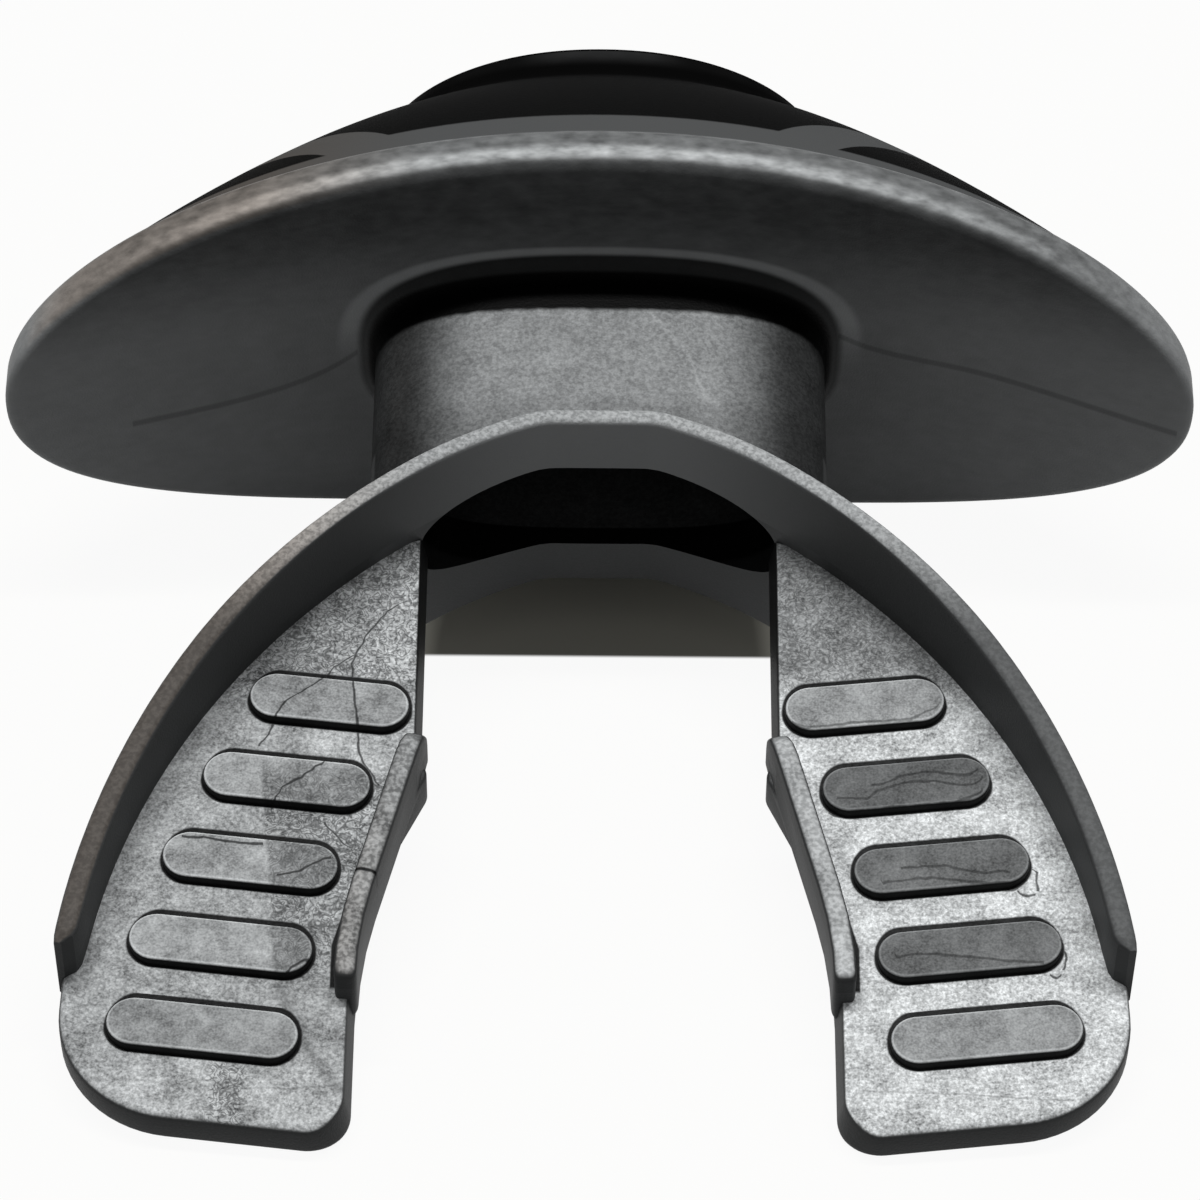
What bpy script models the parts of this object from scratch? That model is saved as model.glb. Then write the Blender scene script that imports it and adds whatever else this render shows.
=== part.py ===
"""Mouthguard with a lip guard, moulded in one piece: bite tray, hollow neck and domed lip shield.

It is drawn in the mould's frame, in metres: x runs across the mouth, y from the throat to the lips,
and z = 0 is the bite surface. The piece is then tilted onto its arm ends and its shield's lower edge,
as it lies on a table.
"""
import bpy
import bmesh
from math import acos, asin, atan2, ceil, cos, pi, radians, sin, sqrt, tan
from mathutils import Matrix, Vector

# Bite plate
PLATE_THICKNESS = 0.0026
PLATE_EDGE_RADIUS = 0.0005
SLOT_WIDTH = 0.0219
SLOT_FLARE_START = -0.0128
SLOT_FLARE_START_RADIUS = 0.0080
SLOT_FLARE_END = -0.0272
SLOT_FLARE_END_RADIUS = 0.0300
ARM_GAP_AT_BACK = 0.0290
ARM_BACK_INNER = -0.0402
ARM_BACK_OUTER = -0.0381
ARM_INNER_CORNER = 0.0026
ARM_OUTER_CORNER = 0.0076

# Arch of the tray wall, along its inner face
ARCH_RADIUS = 0.04815
ARCH_CENTRE_X = -0.0168
ARCH_CENTRE_Y = -0.0340
ARCH_START_ANGLE = radians(54.0)
FRONT_Y = 0.00905
FRONT_FLAT_WIDTH = 0.0070
FRONT_ARC_RADIUS = 0.0292
FRONT_CORNER_RADIUS = 0.0040

# Tray wall above the bite surface, and flange below it
WALL_FRONT_THICKNESS = 0.0012
WALL_SIDE_THICKNESS = 0.00145
WALL_EDGE_RADIUS = 0.0005
WALL_HEIGHT = 0.0068
WALL_BACK_HEIGHT = 0.0042
WALL_END_Y = -0.0275
WALL_END = (0.0017, 0.0009, 0.0001, 0.0005, 0.0005)
WALL_STANDS_PROUD = 0.0003
PLATE_LAP_IN_WALL = 0.0003
FLANGE_DEPTH = 0.0097
FLANGE_FULL_LENGTH = 0.0150
FLANGE_FADE_LENGTH = 0.0170

# Five bite ribs on each arm
RIB_HEIGHT = 0.00075
RIB_WIDTH = 0.0034
RIB_EDGE_RADIUS = 0.0004
RIB_FIRST_Y = -0.00855
RIB_PITCH = 0.00612
RIB_FIRST_LENGTH = 0.0101
RIB_LENGTH_STEP = 0.0004
RIB_TILT = radians(6.5)
RIB_GAPS_TO_WALL = (0.00225, 0.00285, 0.00285, 0.00245, 0.00195)

# Rails on the inner edges of the arms
RAIL_WIDTH = 0.00125
RAIL_HEIGHT = 0.0027
RAIL_EDGE_RADIUS = 0.00035
RAIL_START_Y = -0.0141
RAIL_END_Y = -0.0299
RAIL_FRONT_END = (0.0027, 0.0001, 0.0003, 0.0024, 0.0)
RAIL_REAR_END = (0.0006, 0.0003, 0.0003, 0.0005, 0.0)
RAIL_STANDS_PROUD = 0.00015

# Lug under the front end of each rail
LUG_WIDTH = 0.0022
LUG_LENGTH = 0.0060
LUG_CENTRE = (0.0125, -0.0147)
LUG_TURN = radians(-65.6)
LUG_DEPTH = 0.0013
LUG_EDGE_RADIUS = 0.0004

# Neck and the airway through it
NECK_WIDTH = 0.0296
NECK_HEIGHT = 0.0152
NECK_SQUARENESS = 3.0
NECK_ROOT_RADIUS = 0.0015
AIRWAY_WIDTH = 0.0230
AIRWAY_HEIGHT = 0.0079
AIRWAY_DROP = 0.0005
AIRWAY_OVERRUN = 0.0030

# Lip shield
SHIELD_WIDTH = 0.0779
SHIELD_HEIGHT = 0.0347
SHIELD_SQUARENESS = 2.13
SHIELD_RISE = 0.0005
SHIELD_EDGE_THICKNESS = 0.0035
SHIELD_EDGE_RADIUS = 0.0009
SHIELD_BACK_Y = 0.0227
SHIELD_SWEEP_RADIUS = 0.1050
SHIELD_TALL_RADIUS = 0.2840
DOME_HEIGHT = 0.0159
DOME_SIDE_DROP = 0.0035
DOME_SIDE_X = 0.0270
DOME_FULLNESS = 0.85

# Raised lip of the breathing port
PORT_WIDTH = 0.0298
PORT_HEIGHT = 0.0182
PORT_SQUARENESS = 2.15
PORT_LIP_THICKNESS = 0.0016
PORT_LIP_EDGE_RADIUS = 0.0004
PORT_LIP_REACH = 0.0181
PORT_SWEEP_RADIUS = 0.0800
PORT_THROAT_LENGTH = 0.0090

# Fineness of the faceted surfaces
RING_POINTS = 72
AIRWAY_POINTS = 54
ARC_STEP = radians(15.0)
ARCH_STEP = radians(3.2)
ROUND_STEPS = 2
STADIUM_STEPS = 7
SPREAD_SHARES = (0.25, 0.5, 0.75)
DOME_SHARES = (0.05, 0.14, 0.26, 0.4, 0.55, 0.7, 0.85, 1.0)
THROAT_STEPS = 5
SMOOTH_ANGLE = radians(35.0)
OVERLAP = 0.0003
SLIVER = 0.00002

# Search for the angle at which the piece rests
STEEPEST_TILT = radians(45.0)
TILT_ROUNDS = 40

AXIS_Z = -PLATE_THICKNESS / 2


def lerp(start, end, share):
    return start + (end - start) * share


def smooth(share):
    share = min(1.0, max(0.0, share))
    return share * share * (3 - 2 * share)


def fillet_path(corners):
    """Open line through the corners (x, y, radius), each rounded to its radius."""
    points = []
    for index, (x, y, radius) in enumerate(corners):
        corner = Vector((x, y))
        if radius == 0 or index in (0, len(corners) - 1):
            points.append(corner)
            continue
        to_last = (Vector(corners[index - 1][:2]) - corner).normalized()
        to_next = (Vector(corners[index + 1][:2]) - corner).normalized()
        opening = to_last.angle(to_next)
        turn = pi - opening
        centre = corner + (to_last + to_next).normalized() * (radius / sin(opening / 2))
        start = corner + to_last * (radius / tan(opening / 2)) - centre
        side = 1 if to_last.cross(to_next) < 0 else -1
        steps = max(2, ceil(turn / ARC_STEP))
        for step in range(steps + 1):
            points.append(centre + Matrix.Rotation(side * turn * step / steps, 2) @ start)
    return points


def line_normals(points, closed):
    """Mitred normals, on the right of the line's direction."""
    normals = []
    count = len(points)
    for index, point in enumerate(points):
        before = points[index - 1] if closed or index > 0 else None
        after = points[(index + 1) % count] if closed or index < count - 1 else None
        ways = []
        if before is not None:
            ways.append((point - before).normalized())
        if after is not None:
            ways.append((after - point).normalized())
        sides = [Vector((way.y, -way.x)) for way in ways]
        middle = sum(sides, Vector((0, 0))).normalized()
        normals.append(middle / middle.dot(sides[0]))
    return normals


def make_object(name, bm, flat_faces=False):
    """Object from the mesh under construction; faces that aren't flat are split into triangles."""
    mesh = bpy.data.meshes.new(name)
    if not flat_faces:
        bmesh.ops.triangulate(bm, faces=bm.faces)
    bmesh.ops.recalc_face_normals(bm, faces=bm.faces)
    bm.to_mesh(mesh)
    bm.free()
    obj = bpy.data.objects.new(name, mesh)
    bpy.context.collection.objects.link(obj)
    return obj


def add_loft(bm, rings):
    """Closed skin over a row of rings that all have the same number of points."""
    rows = [[bm.verts.new(point) for point in ring] for ring in rings]
    count = len(rings[0])
    for row, following in zip(rows, rows[1:]):
        for index in range(count):
            after = (index + 1) % count
            bm.faces.new((row[index], row[after], following[after], following[index]))
    bm.faces.new(rows[0])
    bm.faces.new(rows[-1])


def add_slab(bm, outline, bottom, top, radius, round_bottom):
    """Slab with the given outline and rounded upper edges, and rounded lower ones if asked."""
    normals = line_normals(outline, closed=True)

    def ring(inset, z):
        return [Vector((*(point + normal * inset), z)) for point, normal in zip(outline, normals)]

    turns = [pi / 2 * step / ROUND_STEPS for step in range(ROUND_STEPS + 1)]
    rings = [ring(0, bottom)]
    if round_bottom:
        rings = [ring(radius * (1 - sin(turn)), bottom + radius * (1 - cos(turn))) for turn in turns]
    rings += [ring(radius * (1 - cos(turn)), top - radius * (1 - sin(turn))) for turn in turns]
    add_loft(bm, rings)


def add_upright_band(bm, stations, edge_radius):
    """Band along stations (point, normal, inner, outer, bottom, top), with rounded edges."""
    rings = []
    for point, normal, inner, outer, bottom, top in stations:
        radius = min(edge_radius, (outer - inner) / 3)
        near, far, low, high = inner + radius, outer - radius, bottom + radius, top - radius
        ring = []
        for number, (across, z) in enumerate(((near, high), (far, high), (far, low), (near, low))):
            for step in range(ROUND_STEPS + 1):
                turn = pi - pi / 2 * (number + step / ROUND_STEPS)
                ring.append(Vector((*(point + normal * (across + radius * cos(turn))),
                                    z + radius * sin(turn))))
        rings.append(ring)
    add_loft(bm, rings)


def with_round_ends(stations, first_end, last_end):
    """Stations with each end drawn out by its reach and trimmed inside, outside, above and below."""
    for side, (reach, inside, outside, above, below) in ((0, first_end), (-1, last_end)):
        point, normal, inner, outer, bottom, top = stations[side]
        way = (point - stations[1 if side == 0 else -2][0]).normalized()
        ends = []
        for step in range(1, ROUND_STEPS + 1):
            turn = pi / 2 * step / ROUND_STEPS
            share = 1 - cos(turn)
            ends.append((point + way * (reach * sin(turn)), normal, inner + inside * share,
                         outer - outside * share, bottom + below * share, top - above * share))
        stations = ends[::-1] + stations if side == 0 else stations + ends
    return stations


def arch_corner():
    """Point where the straight front part of the wall meets the curved arm."""
    return (ARCH_CENTRE_X + ARCH_RADIUS * cos(ARCH_START_ANGLE),
            ARCH_CENTRE_Y + ARCH_RADIUS * sin(ARCH_START_ANGLE))


def front_arc_centre():
    """Centre of the tighter arc between the side arc and the flat front, tangent to the side arc."""
    corner_x, corner_y = arch_corner()
    return (corner_x - FRONT_ARC_RADIUS * cos(ARCH_START_ANGLE),
            corner_y - FRONT_ARC_RADIUS * sin(ARCH_START_ANGLE))


def arc_points(centre, radius, start_angle, end_angle):
    steps = ceil(abs(start_angle - end_angle) / ARCH_STEP)
    angles = [lerp(start_angle, end_angle, step / steps) for step in range(steps + 1)]
    return [Vector((centre[0] + radius * cos(angle), centre[1] + radius * sin(angle))) for angle in angles]


def arch_line(end_y):
    """Right half of the wall's inner face, from the middle of the front back to end_y."""
    arc_x, arc_y = front_arc_centre()
    flat_angle = acos((FRONT_FLAT_WIDTH / 2 - arc_x) / FRONT_ARC_RADIUS)
    front_arc = arc_points((arc_x, arc_y), FRONT_ARC_RADIUS, flat_angle, ARCH_START_ANGLE)
    end_angle = asin((end_y - ARCH_CENTRE_Y) / ARCH_RADIUS)
    side_arc = arc_points((ARCH_CENTRE_X, ARCH_CENTRE_Y), ARCH_RADIUS, ARCH_START_ANGLE, end_angle)
    corners = [(0.0, FRONT_Y, 0), (*front_arc[0], FRONT_CORNER_RADIUS), (*front_arc[2], 0)]
    return fillet_path(corners) + front_arc[3:] + side_arc[1:]


def arch_y(x):
    """Height along y of the wall's inner face over a point x of the front."""
    x = abs(x)
    if x < FRONT_FLAT_WIDTH / 2:
        return FRONT_Y
    if x < arch_corner()[0]:
        arc_x, arc_y = front_arc_centre()
        return arc_y + sqrt(FRONT_ARC_RADIUS ** 2 - (x - arc_x) ** 2)
    return ARCH_CENTRE_Y + sqrt(ARCH_RADIUS ** 2 - (x - ARCH_CENTRE_X) ** 2)


def arch_x(y):
    """Place along x of the wall's inner face beside a point y of the right arm."""
    return ARCH_CENTRE_X + sqrt(ARCH_RADIUS ** 2 - (y - ARCH_CENTRE_Y) ** 2)


def inner_edge_corners():
    """Corners of the right arm's inner edge, from the wall to the arm's back."""
    return [(SLOT_WIDTH / 2, arch_y(SLOT_WIDTH / 2) + PLATE_LAP_IN_WALL, 0),
            (SLOT_WIDTH / 2, SLOT_FLARE_START, SLOT_FLARE_START_RADIUS),
            (ARM_GAP_AT_BACK / 2, SLOT_FLARE_END, SLOT_FLARE_END_RADIUS)]


def arm_outline():
    """Outline of the right arm of the bite plate."""
    plate_offset = WALL_SIDE_THICKNESS - WALL_STANDS_PROUD
    arch = arch_line(ARM_BACK_OUTER + ARM_OUTER_CORNER + PLATE_THICKNESS / 2)
    outer = []
    for point, normal in zip(arch, line_normals(arch, closed=False)):
        along_front = smooth((point.x - SLOT_WIDTH / 2) / (SLOT_WIDTH / 2))
        outer.append(point - normal * lerp(PLATE_LAP_IN_WALL, plate_offset, along_front))
    outer = [point for point in outer if point.x > SLOT_WIDTH / 2 + 2 * PLATE_EDGE_RADIUS]
    outer_x = ARCH_CENTRE_X + ARCH_RADIUS + plate_offset
    inner = fillet_path(inner_edge_corners()
                        + [(ARM_GAP_AT_BACK / 2, ARM_BACK_INNER, ARM_INNER_CORNER),
                           (outer_x, ARM_BACK_OUTER, ARM_OUTER_CORNER),
                           (*outer[-1], 0)])
    return inner + outer[-2::-1]


def mirrored(points):
    return [Vector((-point.x, point.y)) for point in reversed(points)]


def make_plates():
    bm = bmesh.new()
    outline = arm_outline()
    for side in (outline, mirrored(outline)):
        add_slab(bm, side[::-1], -PLATE_THICKNESS, 0.0, PLATE_EDGE_RADIUS, round_bottom=True)
    return make_object("bite_plates", bm, flat_faces=True)


def make_wall():
    """Wall above the bite surface and flange below it, from one arm round the front to the other."""
    half = arch_line(WALL_END_Y)
    line = mirrored(half[1:]) + half
    normals = line_normals(line, closed=False)
    lengths = [0.0]
    for before, after in zip(line, line[1:]):
        lengths.append(lengths[-1] + (after - before).length)
    half_length = lengths[-1] / 2
    stations = []
    for point, normal, length in zip(line, normals, lengths):
        past_front = abs(length - half_length) - FLANGE_FULL_LENGTH
        fall = smooth(past_front / (half_length - FLANGE_FULL_LENGTH))
        top = lerp(WALL_HEIGHT, WALL_BACK_HEIGHT, fall)
        fade = smooth(past_front / FLANGE_FADE_LENGTH)
        bottom = -lerp(FLANGE_DEPTH, PLATE_THICKNESS - OVERLAP, fade)
        thickness = lerp(WALL_FRONT_THICKNESS, WALL_SIDE_THICKNESS, fade)
        stations.append((point, -normal, 0.0, thickness, bottom, top))
    bm = bmesh.new()
    add_upright_band(bm, with_round_ends(stations, WALL_END, WALL_END), WALL_EDGE_RADIUS)
    return make_object("tray_wall", bm)


def stadium(centre, length, width, tilt):
    """Outline with two straight sides and two round ends."""
    radius = width / 2
    reach = length / 2 - radius
    points = []
    for side in (1, -1):
        for step in range(STADIUM_STEPS + 1):
            turn = -pi / 2 + pi * step / STADIUM_STEPS
            local = Vector((side * (reach + radius * cos(turn)), side * radius * sin(turn)))
            points.append(Vector(centre) + Matrix.Rotation(tilt, 2) @ local)
    return points


def make_ribs():
    bm = bmesh.new()
    for number, gap in enumerate(RIB_GAPS_TO_WALL):
        y = RIB_FIRST_Y - RIB_PITCH * number
        length = RIB_FIRST_LENGTH + RIB_LENGTH_STEP * number
        x = arch_x(y) - gap - length / 2
        outline = stadium((x, y), length, RIB_WIDTH, RIB_TILT)
        for side in (outline, mirrored(outline)):
            add_slab(bm, side[::-1], -PLATE_THICKNESS / 2, RIB_HEIGHT, RIB_EDGE_RADIUS, round_bottom=False)
    return make_object("bite_ribs", bm, flat_faces=True)


def make_lugs():
    """A small lug under the front end of each rail, reaching a little into the gap."""
    bm = bmesh.new()
    outline = stadium(LUG_CENTRE, LUG_LENGTH, LUG_WIDTH, LUG_TURN)
    for side in (outline, mirrored(outline)):
        add_slab(bm, side[::-1], -PLATE_THICKNESS - LUG_DEPTH, -PLATE_THICKNESS / 3, LUG_EDGE_RADIUS,
                 round_bottom=True)
    return make_object("lugs", bm, flat_faces=True)


def part_between(line, start_y, end_y):
    """Part of a line that runs back from start_y to end_y."""
    part = []
    for before, after in zip(line, line[1:]):
        for y in (start_y, end_y):
            if after.y < y <= before.y:
                part.append(before.lerp(after, (before.y - y) / (before.y - after.y)))
        if end_y < after.y < start_y:
            part.append(after)
    return part


def make_rails():
    """A rail on each arm's inner edge, standing above the plate."""
    edge = fillet_path(inner_edge_corners() + [(ARM_GAP_AT_BACK / 2, ARM_BACK_INNER, 0)])
    line = part_between(edge, RAIL_START_Y, RAIL_END_Y)
    stations = [(point, -normal, -RAIL_STANDS_PROUD, RAIL_WIDTH, -PLATE_THICKNESS * 3 / 4, RAIL_HEIGHT)
                for point, normal in zip(line, line_normals(line, closed=False))]
    stations = with_round_ends(stations, RAIL_FRONT_END, RAIL_REAR_END)
    bm = bmesh.new()
    add_upright_band(bm, stations, RAIL_EDGE_RADIUS)
    flipped = [(Vector((-point.x, point.y)), Vector((-normal.x, normal.y)), *rest)
               for point, normal, *rest in stations]
    add_upright_band(bm, flipped, RAIL_EDGE_RADIUS)
    return make_object("inner_rails", bm)


def oval(width, height, squareness, count=RING_POINTS, lift=0.0):
    """Superellipse in x and z, as (x, z - AXIS_Z) pairs, lifted above the neck's axis."""
    pairs = []
    for index in range(count):
        turn = 2 * pi * (index + 0.5) / count
        across, up = cos(turn), sin(turn)
        x = width / 2 * abs(across) ** (2 / squareness) * (1 if across > 0 else -1)
        z = height / 2 * abs(up) ** (2 / squareness) * (1 if up > 0 else -1)
        pairs.append((x, z + lift))
    return pairs


def shield_back(x, z):
    """Back face of the shield, curved both ways."""
    up = z - SHIELD_RISE
    return SHIELD_BACK_Y - x * x / (2 * SHIELD_SWEEP_RADIUS) - up * up / (2 * SHIELD_TALL_RADIUS)


def shield_front(x, z):
    """Domed front face of the shield."""
    width, height = SHIELD_WIDTH / 2 - SHIELD_EDGE_RADIUS, SHIELD_HEIGHT / 2 - SHIELD_EDGE_RADIUS
    up = abs(z - SHIELD_RISE)
    spread = (abs(x) / width) ** SHIELD_SQUARENESS + (up / height) ** SHIELD_SQUARENESS
    rise = max(0.0, 1 - spread ** (2 / SHIELD_SQUARENESS)) ** DOME_FULLNESS
    dome = DOME_HEIGHT - DOME_SIDE_DROP * (x / DOME_SIDE_X) ** 2
    return shield_back(x, z) + SHIELD_EDGE_THICKNESS + dome * rise


def port_front(x):
    """Front edge of the breathing port's raised lip."""
    return SHIELD_BACK_Y + PORT_LIP_REACH - x * x / (2 * PORT_SWEEP_RADIUS)


def ring_at(pairs, depth):
    return [Vector((x, depth(x, z), z + AXIS_Z)) for x, z in pairs]


def blend(inner, outer, share):
    return [(lerp(x0, x1, share), lerp(z0, z1, share)) for (x0, z0), (x1, z1) in zip(inner, outer)]


def shield_outline(inset):
    return oval(SHIELD_WIDTH - 2 * inset, SHIELD_HEIGHT - 2 * inset, SHIELD_SQUARENESS, lift=SHIELD_RISE)


def port_outline(inset, count=RING_POINTS):
    return oval(PORT_WIDTH - 2 * inset, PORT_HEIGHT - 2 * inset, PORT_SQUARENESS, count)


def make_neck_and_shield():
    """Neck, shield and port lip as one skin of rings, solid inside until the airway is cut."""
    neck = oval(NECK_WIDTH, NECK_HEIGHT, NECK_SQUARENESS)
    wall_middle = WALL_FRONT_THICKNESS / 2
    rings = [ring_at(neck, lambda x, z: arch_y(x) + wall_middle)]
    turns = [pi / 2 * step / ROUND_STEPS for step in range(ROUND_STEPS + 1)]
    for turn in turns:
        spread = 2 * NECK_ROOT_RADIUS * (1 - cos(turn))
        root = oval(NECK_WIDTH + spread, NECK_HEIGHT + spread, NECK_SQUARENESS)
        lift = NECK_ROOT_RADIUS * (1 - sin(turn))
        rings.append(ring_at(root, lambda x, z, lift=lift: shield_back(x, z) - lift))
    for share in SPREAD_SHARES:
        rings.append(ring_at(blend(root, shield_outline(SHIELD_EDGE_RADIUS), share), shield_back))
    side = SHIELD_EDGE_THICKNESS - 2 * SHIELD_EDGE_RADIUS
    for corner, start in ((0, 0.0), (1, side)):
        for turn in turns:
            angle = turn + corner * pi / 2
            inset = SHIELD_EDGE_RADIUS * (1 - sin(angle))
            lift = start + SHIELD_EDGE_RADIUS * (1 - cos(angle))
            rings.append(ring_at(shield_outline(inset), lambda x, z, lift=lift: shield_back(x, z) + lift))
    edge, port = shield_outline(SHIELD_EDGE_RADIUS), port_outline(-PORT_LIP_EDGE_RADIUS)
    for share in DOME_SHARES:
        rings.append(ring_at(blend(edge, port, share), shield_front))
    port = port_outline(0)
    rings.append(ring_at(port, lambda x, z: shield_front(x, z) + PORT_LIP_EDGE_RADIUS))
    for turn in turns:
        inset = PORT_LIP_EDGE_RADIUS * (1 - cos(turn))
        lift = PORT_LIP_EDGE_RADIUS * (1 - sin(turn))
        rings.append(ring_at(port_outline(inset), lambda x, z, lift=lift: port_front(x) - lift))
    rings.append(ring_at(port_outline(2 * PORT_LIP_THICKNESS), lambda x, z: port_front(x)))
    bm = bmesh.new()
    add_loft(bm, rings)
    return make_object("mouthguard", bm)


def make_airway():
    """Cutter for the airway, from the tray through the neck to the flared port."""
    duct = oval(AIRWAY_WIDTH, AIRWAY_HEIGHT, NECK_SQUARENESS, AIRWAY_POINTS, lift=-AIRWAY_DROP)
    port = port_outline(PORT_LIP_THICKNESS, AIRWAY_POINTS)
    rings = [ring_at(duct, lambda x, z: arch_y(x) - OVERLAP)]
    for step in range(THROAT_STEPS + 1):
        share = step / THROAT_STEPS
        outline = blend(duct, port, smooth(share))
        back = PORT_THROAT_LENGTH * (1 - share)
        rings.append(ring_at(outline, lambda x, z, back=back: port_front(x) - OVERLAP - back))
    rings.append(ring_at(port, lambda x, z: port_front(x) + AIRWAY_OVERRUN))
    bm = bmesh.new()
    add_loft(bm, rings)
    return make_object("airway_cutter", bm)


def fuse(target, shapes):
    """Live union of the shapes with the target, all at once."""
    group = bpy.data.collections.new("fused_shapes")
    bpy.context.scene.collection.children.link(group)
    for shape in shapes:
        group.objects.link(shape)
        hide(shape)
    modifier = target.modifiers.new("fuse", "BOOLEAN")
    modifier.operand_type = "COLLECTION"
    modifier.collection = group
    modifier.operation = "UNION"
    modifier.solver = "EXACT"


def cut(target, cutter):
    """Live cut, followed by a weld of the slivers that cutting leaves."""
    modifier = target.modifiers.new("cut", "BOOLEAN")
    modifier.object = cutter
    modifier.operation = "DIFFERENCE"
    modifier.solver = "EXACT"
    hide(cutter)
    weld = target.modifiers.new("weld", "WELD")
    weld.merge_threshold = SLIVER


def hide(shape):
    shape.hide_render = True
    shape.display_type = "WIRE"


def surface_points(obj):
    """Corners of the finished solid, in the mould's frame."""
    evaluated = obj.evaluated_get(bpy.context.evaluated_depsgraph_get())
    points = [vertex.co.copy() for vertex in evaluated.to_mesh().vertices]
    evaluated.to_mesh_clear()
    return points


def resting_tilt(points):
    """Turn about x that brings the arm ends and the shield's lower edge to one level."""
    arms = [point for point in points if point.y < WALL_END_Y]
    shield = [point for point in points if point.y > SHIELD_BACK_Y - SHIELD_HEIGHT / 4]
    low, high = 0.0, STEEPEST_TILT
    for _ in range(TILT_ROUNDS):
        tilt = (low + high) / 2
        arm_low = min(point.y * sin(tilt) + point.z * cos(tilt) for point in arms)
        shield_low = min(point.y * sin(tilt) + point.z * cos(tilt) for point in shield)
        low, high = (tilt, high) if shield_low < arm_low else (low, tilt)
    return tilt


def lay_on_table(obj, frame):
    """Turn and move the frame so that the piece rests on z = 0, centred over the origin."""
    points = surface_points(obj)
    turn = Matrix.Rotation(resting_tilt(points), 3, "X")
    laid = [turn @ point for point in points]
    low = [min(point[axis] for point in laid) for axis in range(3)]
    high = [max(point[axis] for point in laid) for axis in range(3)]
    frame.rotation_euler = turn.to_euler()
    frame.location = (-(low[0] + high[0]) / 2, -(low[1] + high[1]) / 2, -low[2])


def elastomer():
    material = bpy.data.materials.new("grey_elastomer")
    material.use_nodes = True
    shader = material.node_tree.nodes["Principled BSDF"]
    shader.inputs["Base Color"].default_value = (0.19, 0.195, 0.20, 1)
    shader.inputs["Roughness"].default_value = 0.42
    shader.inputs["Metallic"].default_value = 0.35
    material.diffuse_color = (0.19, 0.195, 0.20, 1)
    return material


def clear_scene():
    for obj in list(bpy.data.objects):
        bpy.data.objects.remove(obj, do_unlink=True)


def main():
    clear_scene()
    frame = bpy.data.objects.new("resting_frame", None)
    bpy.context.collection.objects.link(frame)
    body = make_neck_and_shield()
    fuse(body, [make_wall(), make_plates(), make_rails(), make_lugs(), make_ribs()])
    cut(body, make_airway())
    body.data.materials.append(elastomer())
    body.data.shade_smooth()
    body.data.set_sharp_from_angle(angle=SMOOTH_ANGLE)
    lay_on_table(body, frame)
    for obj in bpy.data.objects:
        if obj is not frame:
            obj.parent = frame


main()
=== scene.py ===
"""Looks of the one-piece mouthguard with its lip guard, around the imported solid.

Shapes are set out in the mould's frame, in metres: x across the mouth, y towards the lips, z = 0 on the
bite face. lie_down() then turns a finished piece to the way it rests on the table.
"""
from math import acos, asin, atan2, ceil, cos, pi, radians, sin, sqrt, tan
import bpy
from mathutils import Matrix, Vector


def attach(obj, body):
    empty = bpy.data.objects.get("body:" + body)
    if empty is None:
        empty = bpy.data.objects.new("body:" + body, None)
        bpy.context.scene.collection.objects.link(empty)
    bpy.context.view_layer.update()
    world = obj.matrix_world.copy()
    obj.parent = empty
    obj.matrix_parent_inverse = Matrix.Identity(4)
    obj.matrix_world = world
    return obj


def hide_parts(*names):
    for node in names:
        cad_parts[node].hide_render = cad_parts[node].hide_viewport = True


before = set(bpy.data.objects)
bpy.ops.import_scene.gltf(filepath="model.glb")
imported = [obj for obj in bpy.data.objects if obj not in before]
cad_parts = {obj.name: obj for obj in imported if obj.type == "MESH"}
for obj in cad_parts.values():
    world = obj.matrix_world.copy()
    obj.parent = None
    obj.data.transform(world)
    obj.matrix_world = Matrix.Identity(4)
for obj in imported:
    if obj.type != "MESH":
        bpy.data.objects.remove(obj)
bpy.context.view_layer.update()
bpy.ops.object.select_all(action="DESELECT")

# Resting place of the mould's frame
REST_TILT = radians(13.976985)
REST_PLACE = (0.0, -0.00172058, 0.01203007)

# Bite plate
PLATE_THICKNESS = 0.0026
PLATE_EDGE_RADIUS = 0.0005
PLATE_INNER_DRAFT = 0.00042
PLATE_INNER_RADIUS = 0.00012
SLOT_WIDTH = 0.0219
SLOT_FLARE_START = -0.0128
SLOT_FLARE_START_RADIUS = 0.0080
SLOT_FLARE_END = -0.0272
SLOT_FLARE_END_RADIUS = 0.0300
ARM_GAP_AT_BACK = 0.0290
ARM_BACK_INNER = -0.0402
ARM_BACK_OUTER = -0.0381
ARM_INNER_CORNER = 0.0026
ARM_OUTER_CORNER = 0.0076

# Arch of the tray wall, along its inner face
ARCH_RADIUS = 0.04815
ARCH_CENTRE_X = -0.0168
ARCH_CENTRE_Y = -0.0340
ARCH_START_ANGLE = radians(54.0)
FRONT_Y = 0.00905
FRONT_FLAT_WIDTH = 0.0070
FRONT_ARC_RADIUS = 0.0292
FRONT_CORNER_RADIUS = 0.0040

# Tray wall above the bite face, and flange below it
WALL_FRONT_THICKNESS = 0.0012
WALL_SIDE_THICKNESS = 0.00145
WALL_EDGE_RADIUS = 0.0005
WALL_HEIGHT = 0.0068
WALL_BACK_HEIGHT = 0.0042
WALL_END_Y = -0.0275
# An end is drawn out by the first length and trimmed inside, outside, above and below by the others
WALL_END = (0.0017, 0.0009, 0.0001, 0.0005, 0.0005)
WALL_STANDS_PROUD = 0.0003
PLATE_LAP_IN_WALL = 0.0003
FLANGE_DEPTH = 0.0097
FLANGE_FULL_LENGTH = 0.0150
FLANGE_FADE_LENGTH = 0.0170

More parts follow.
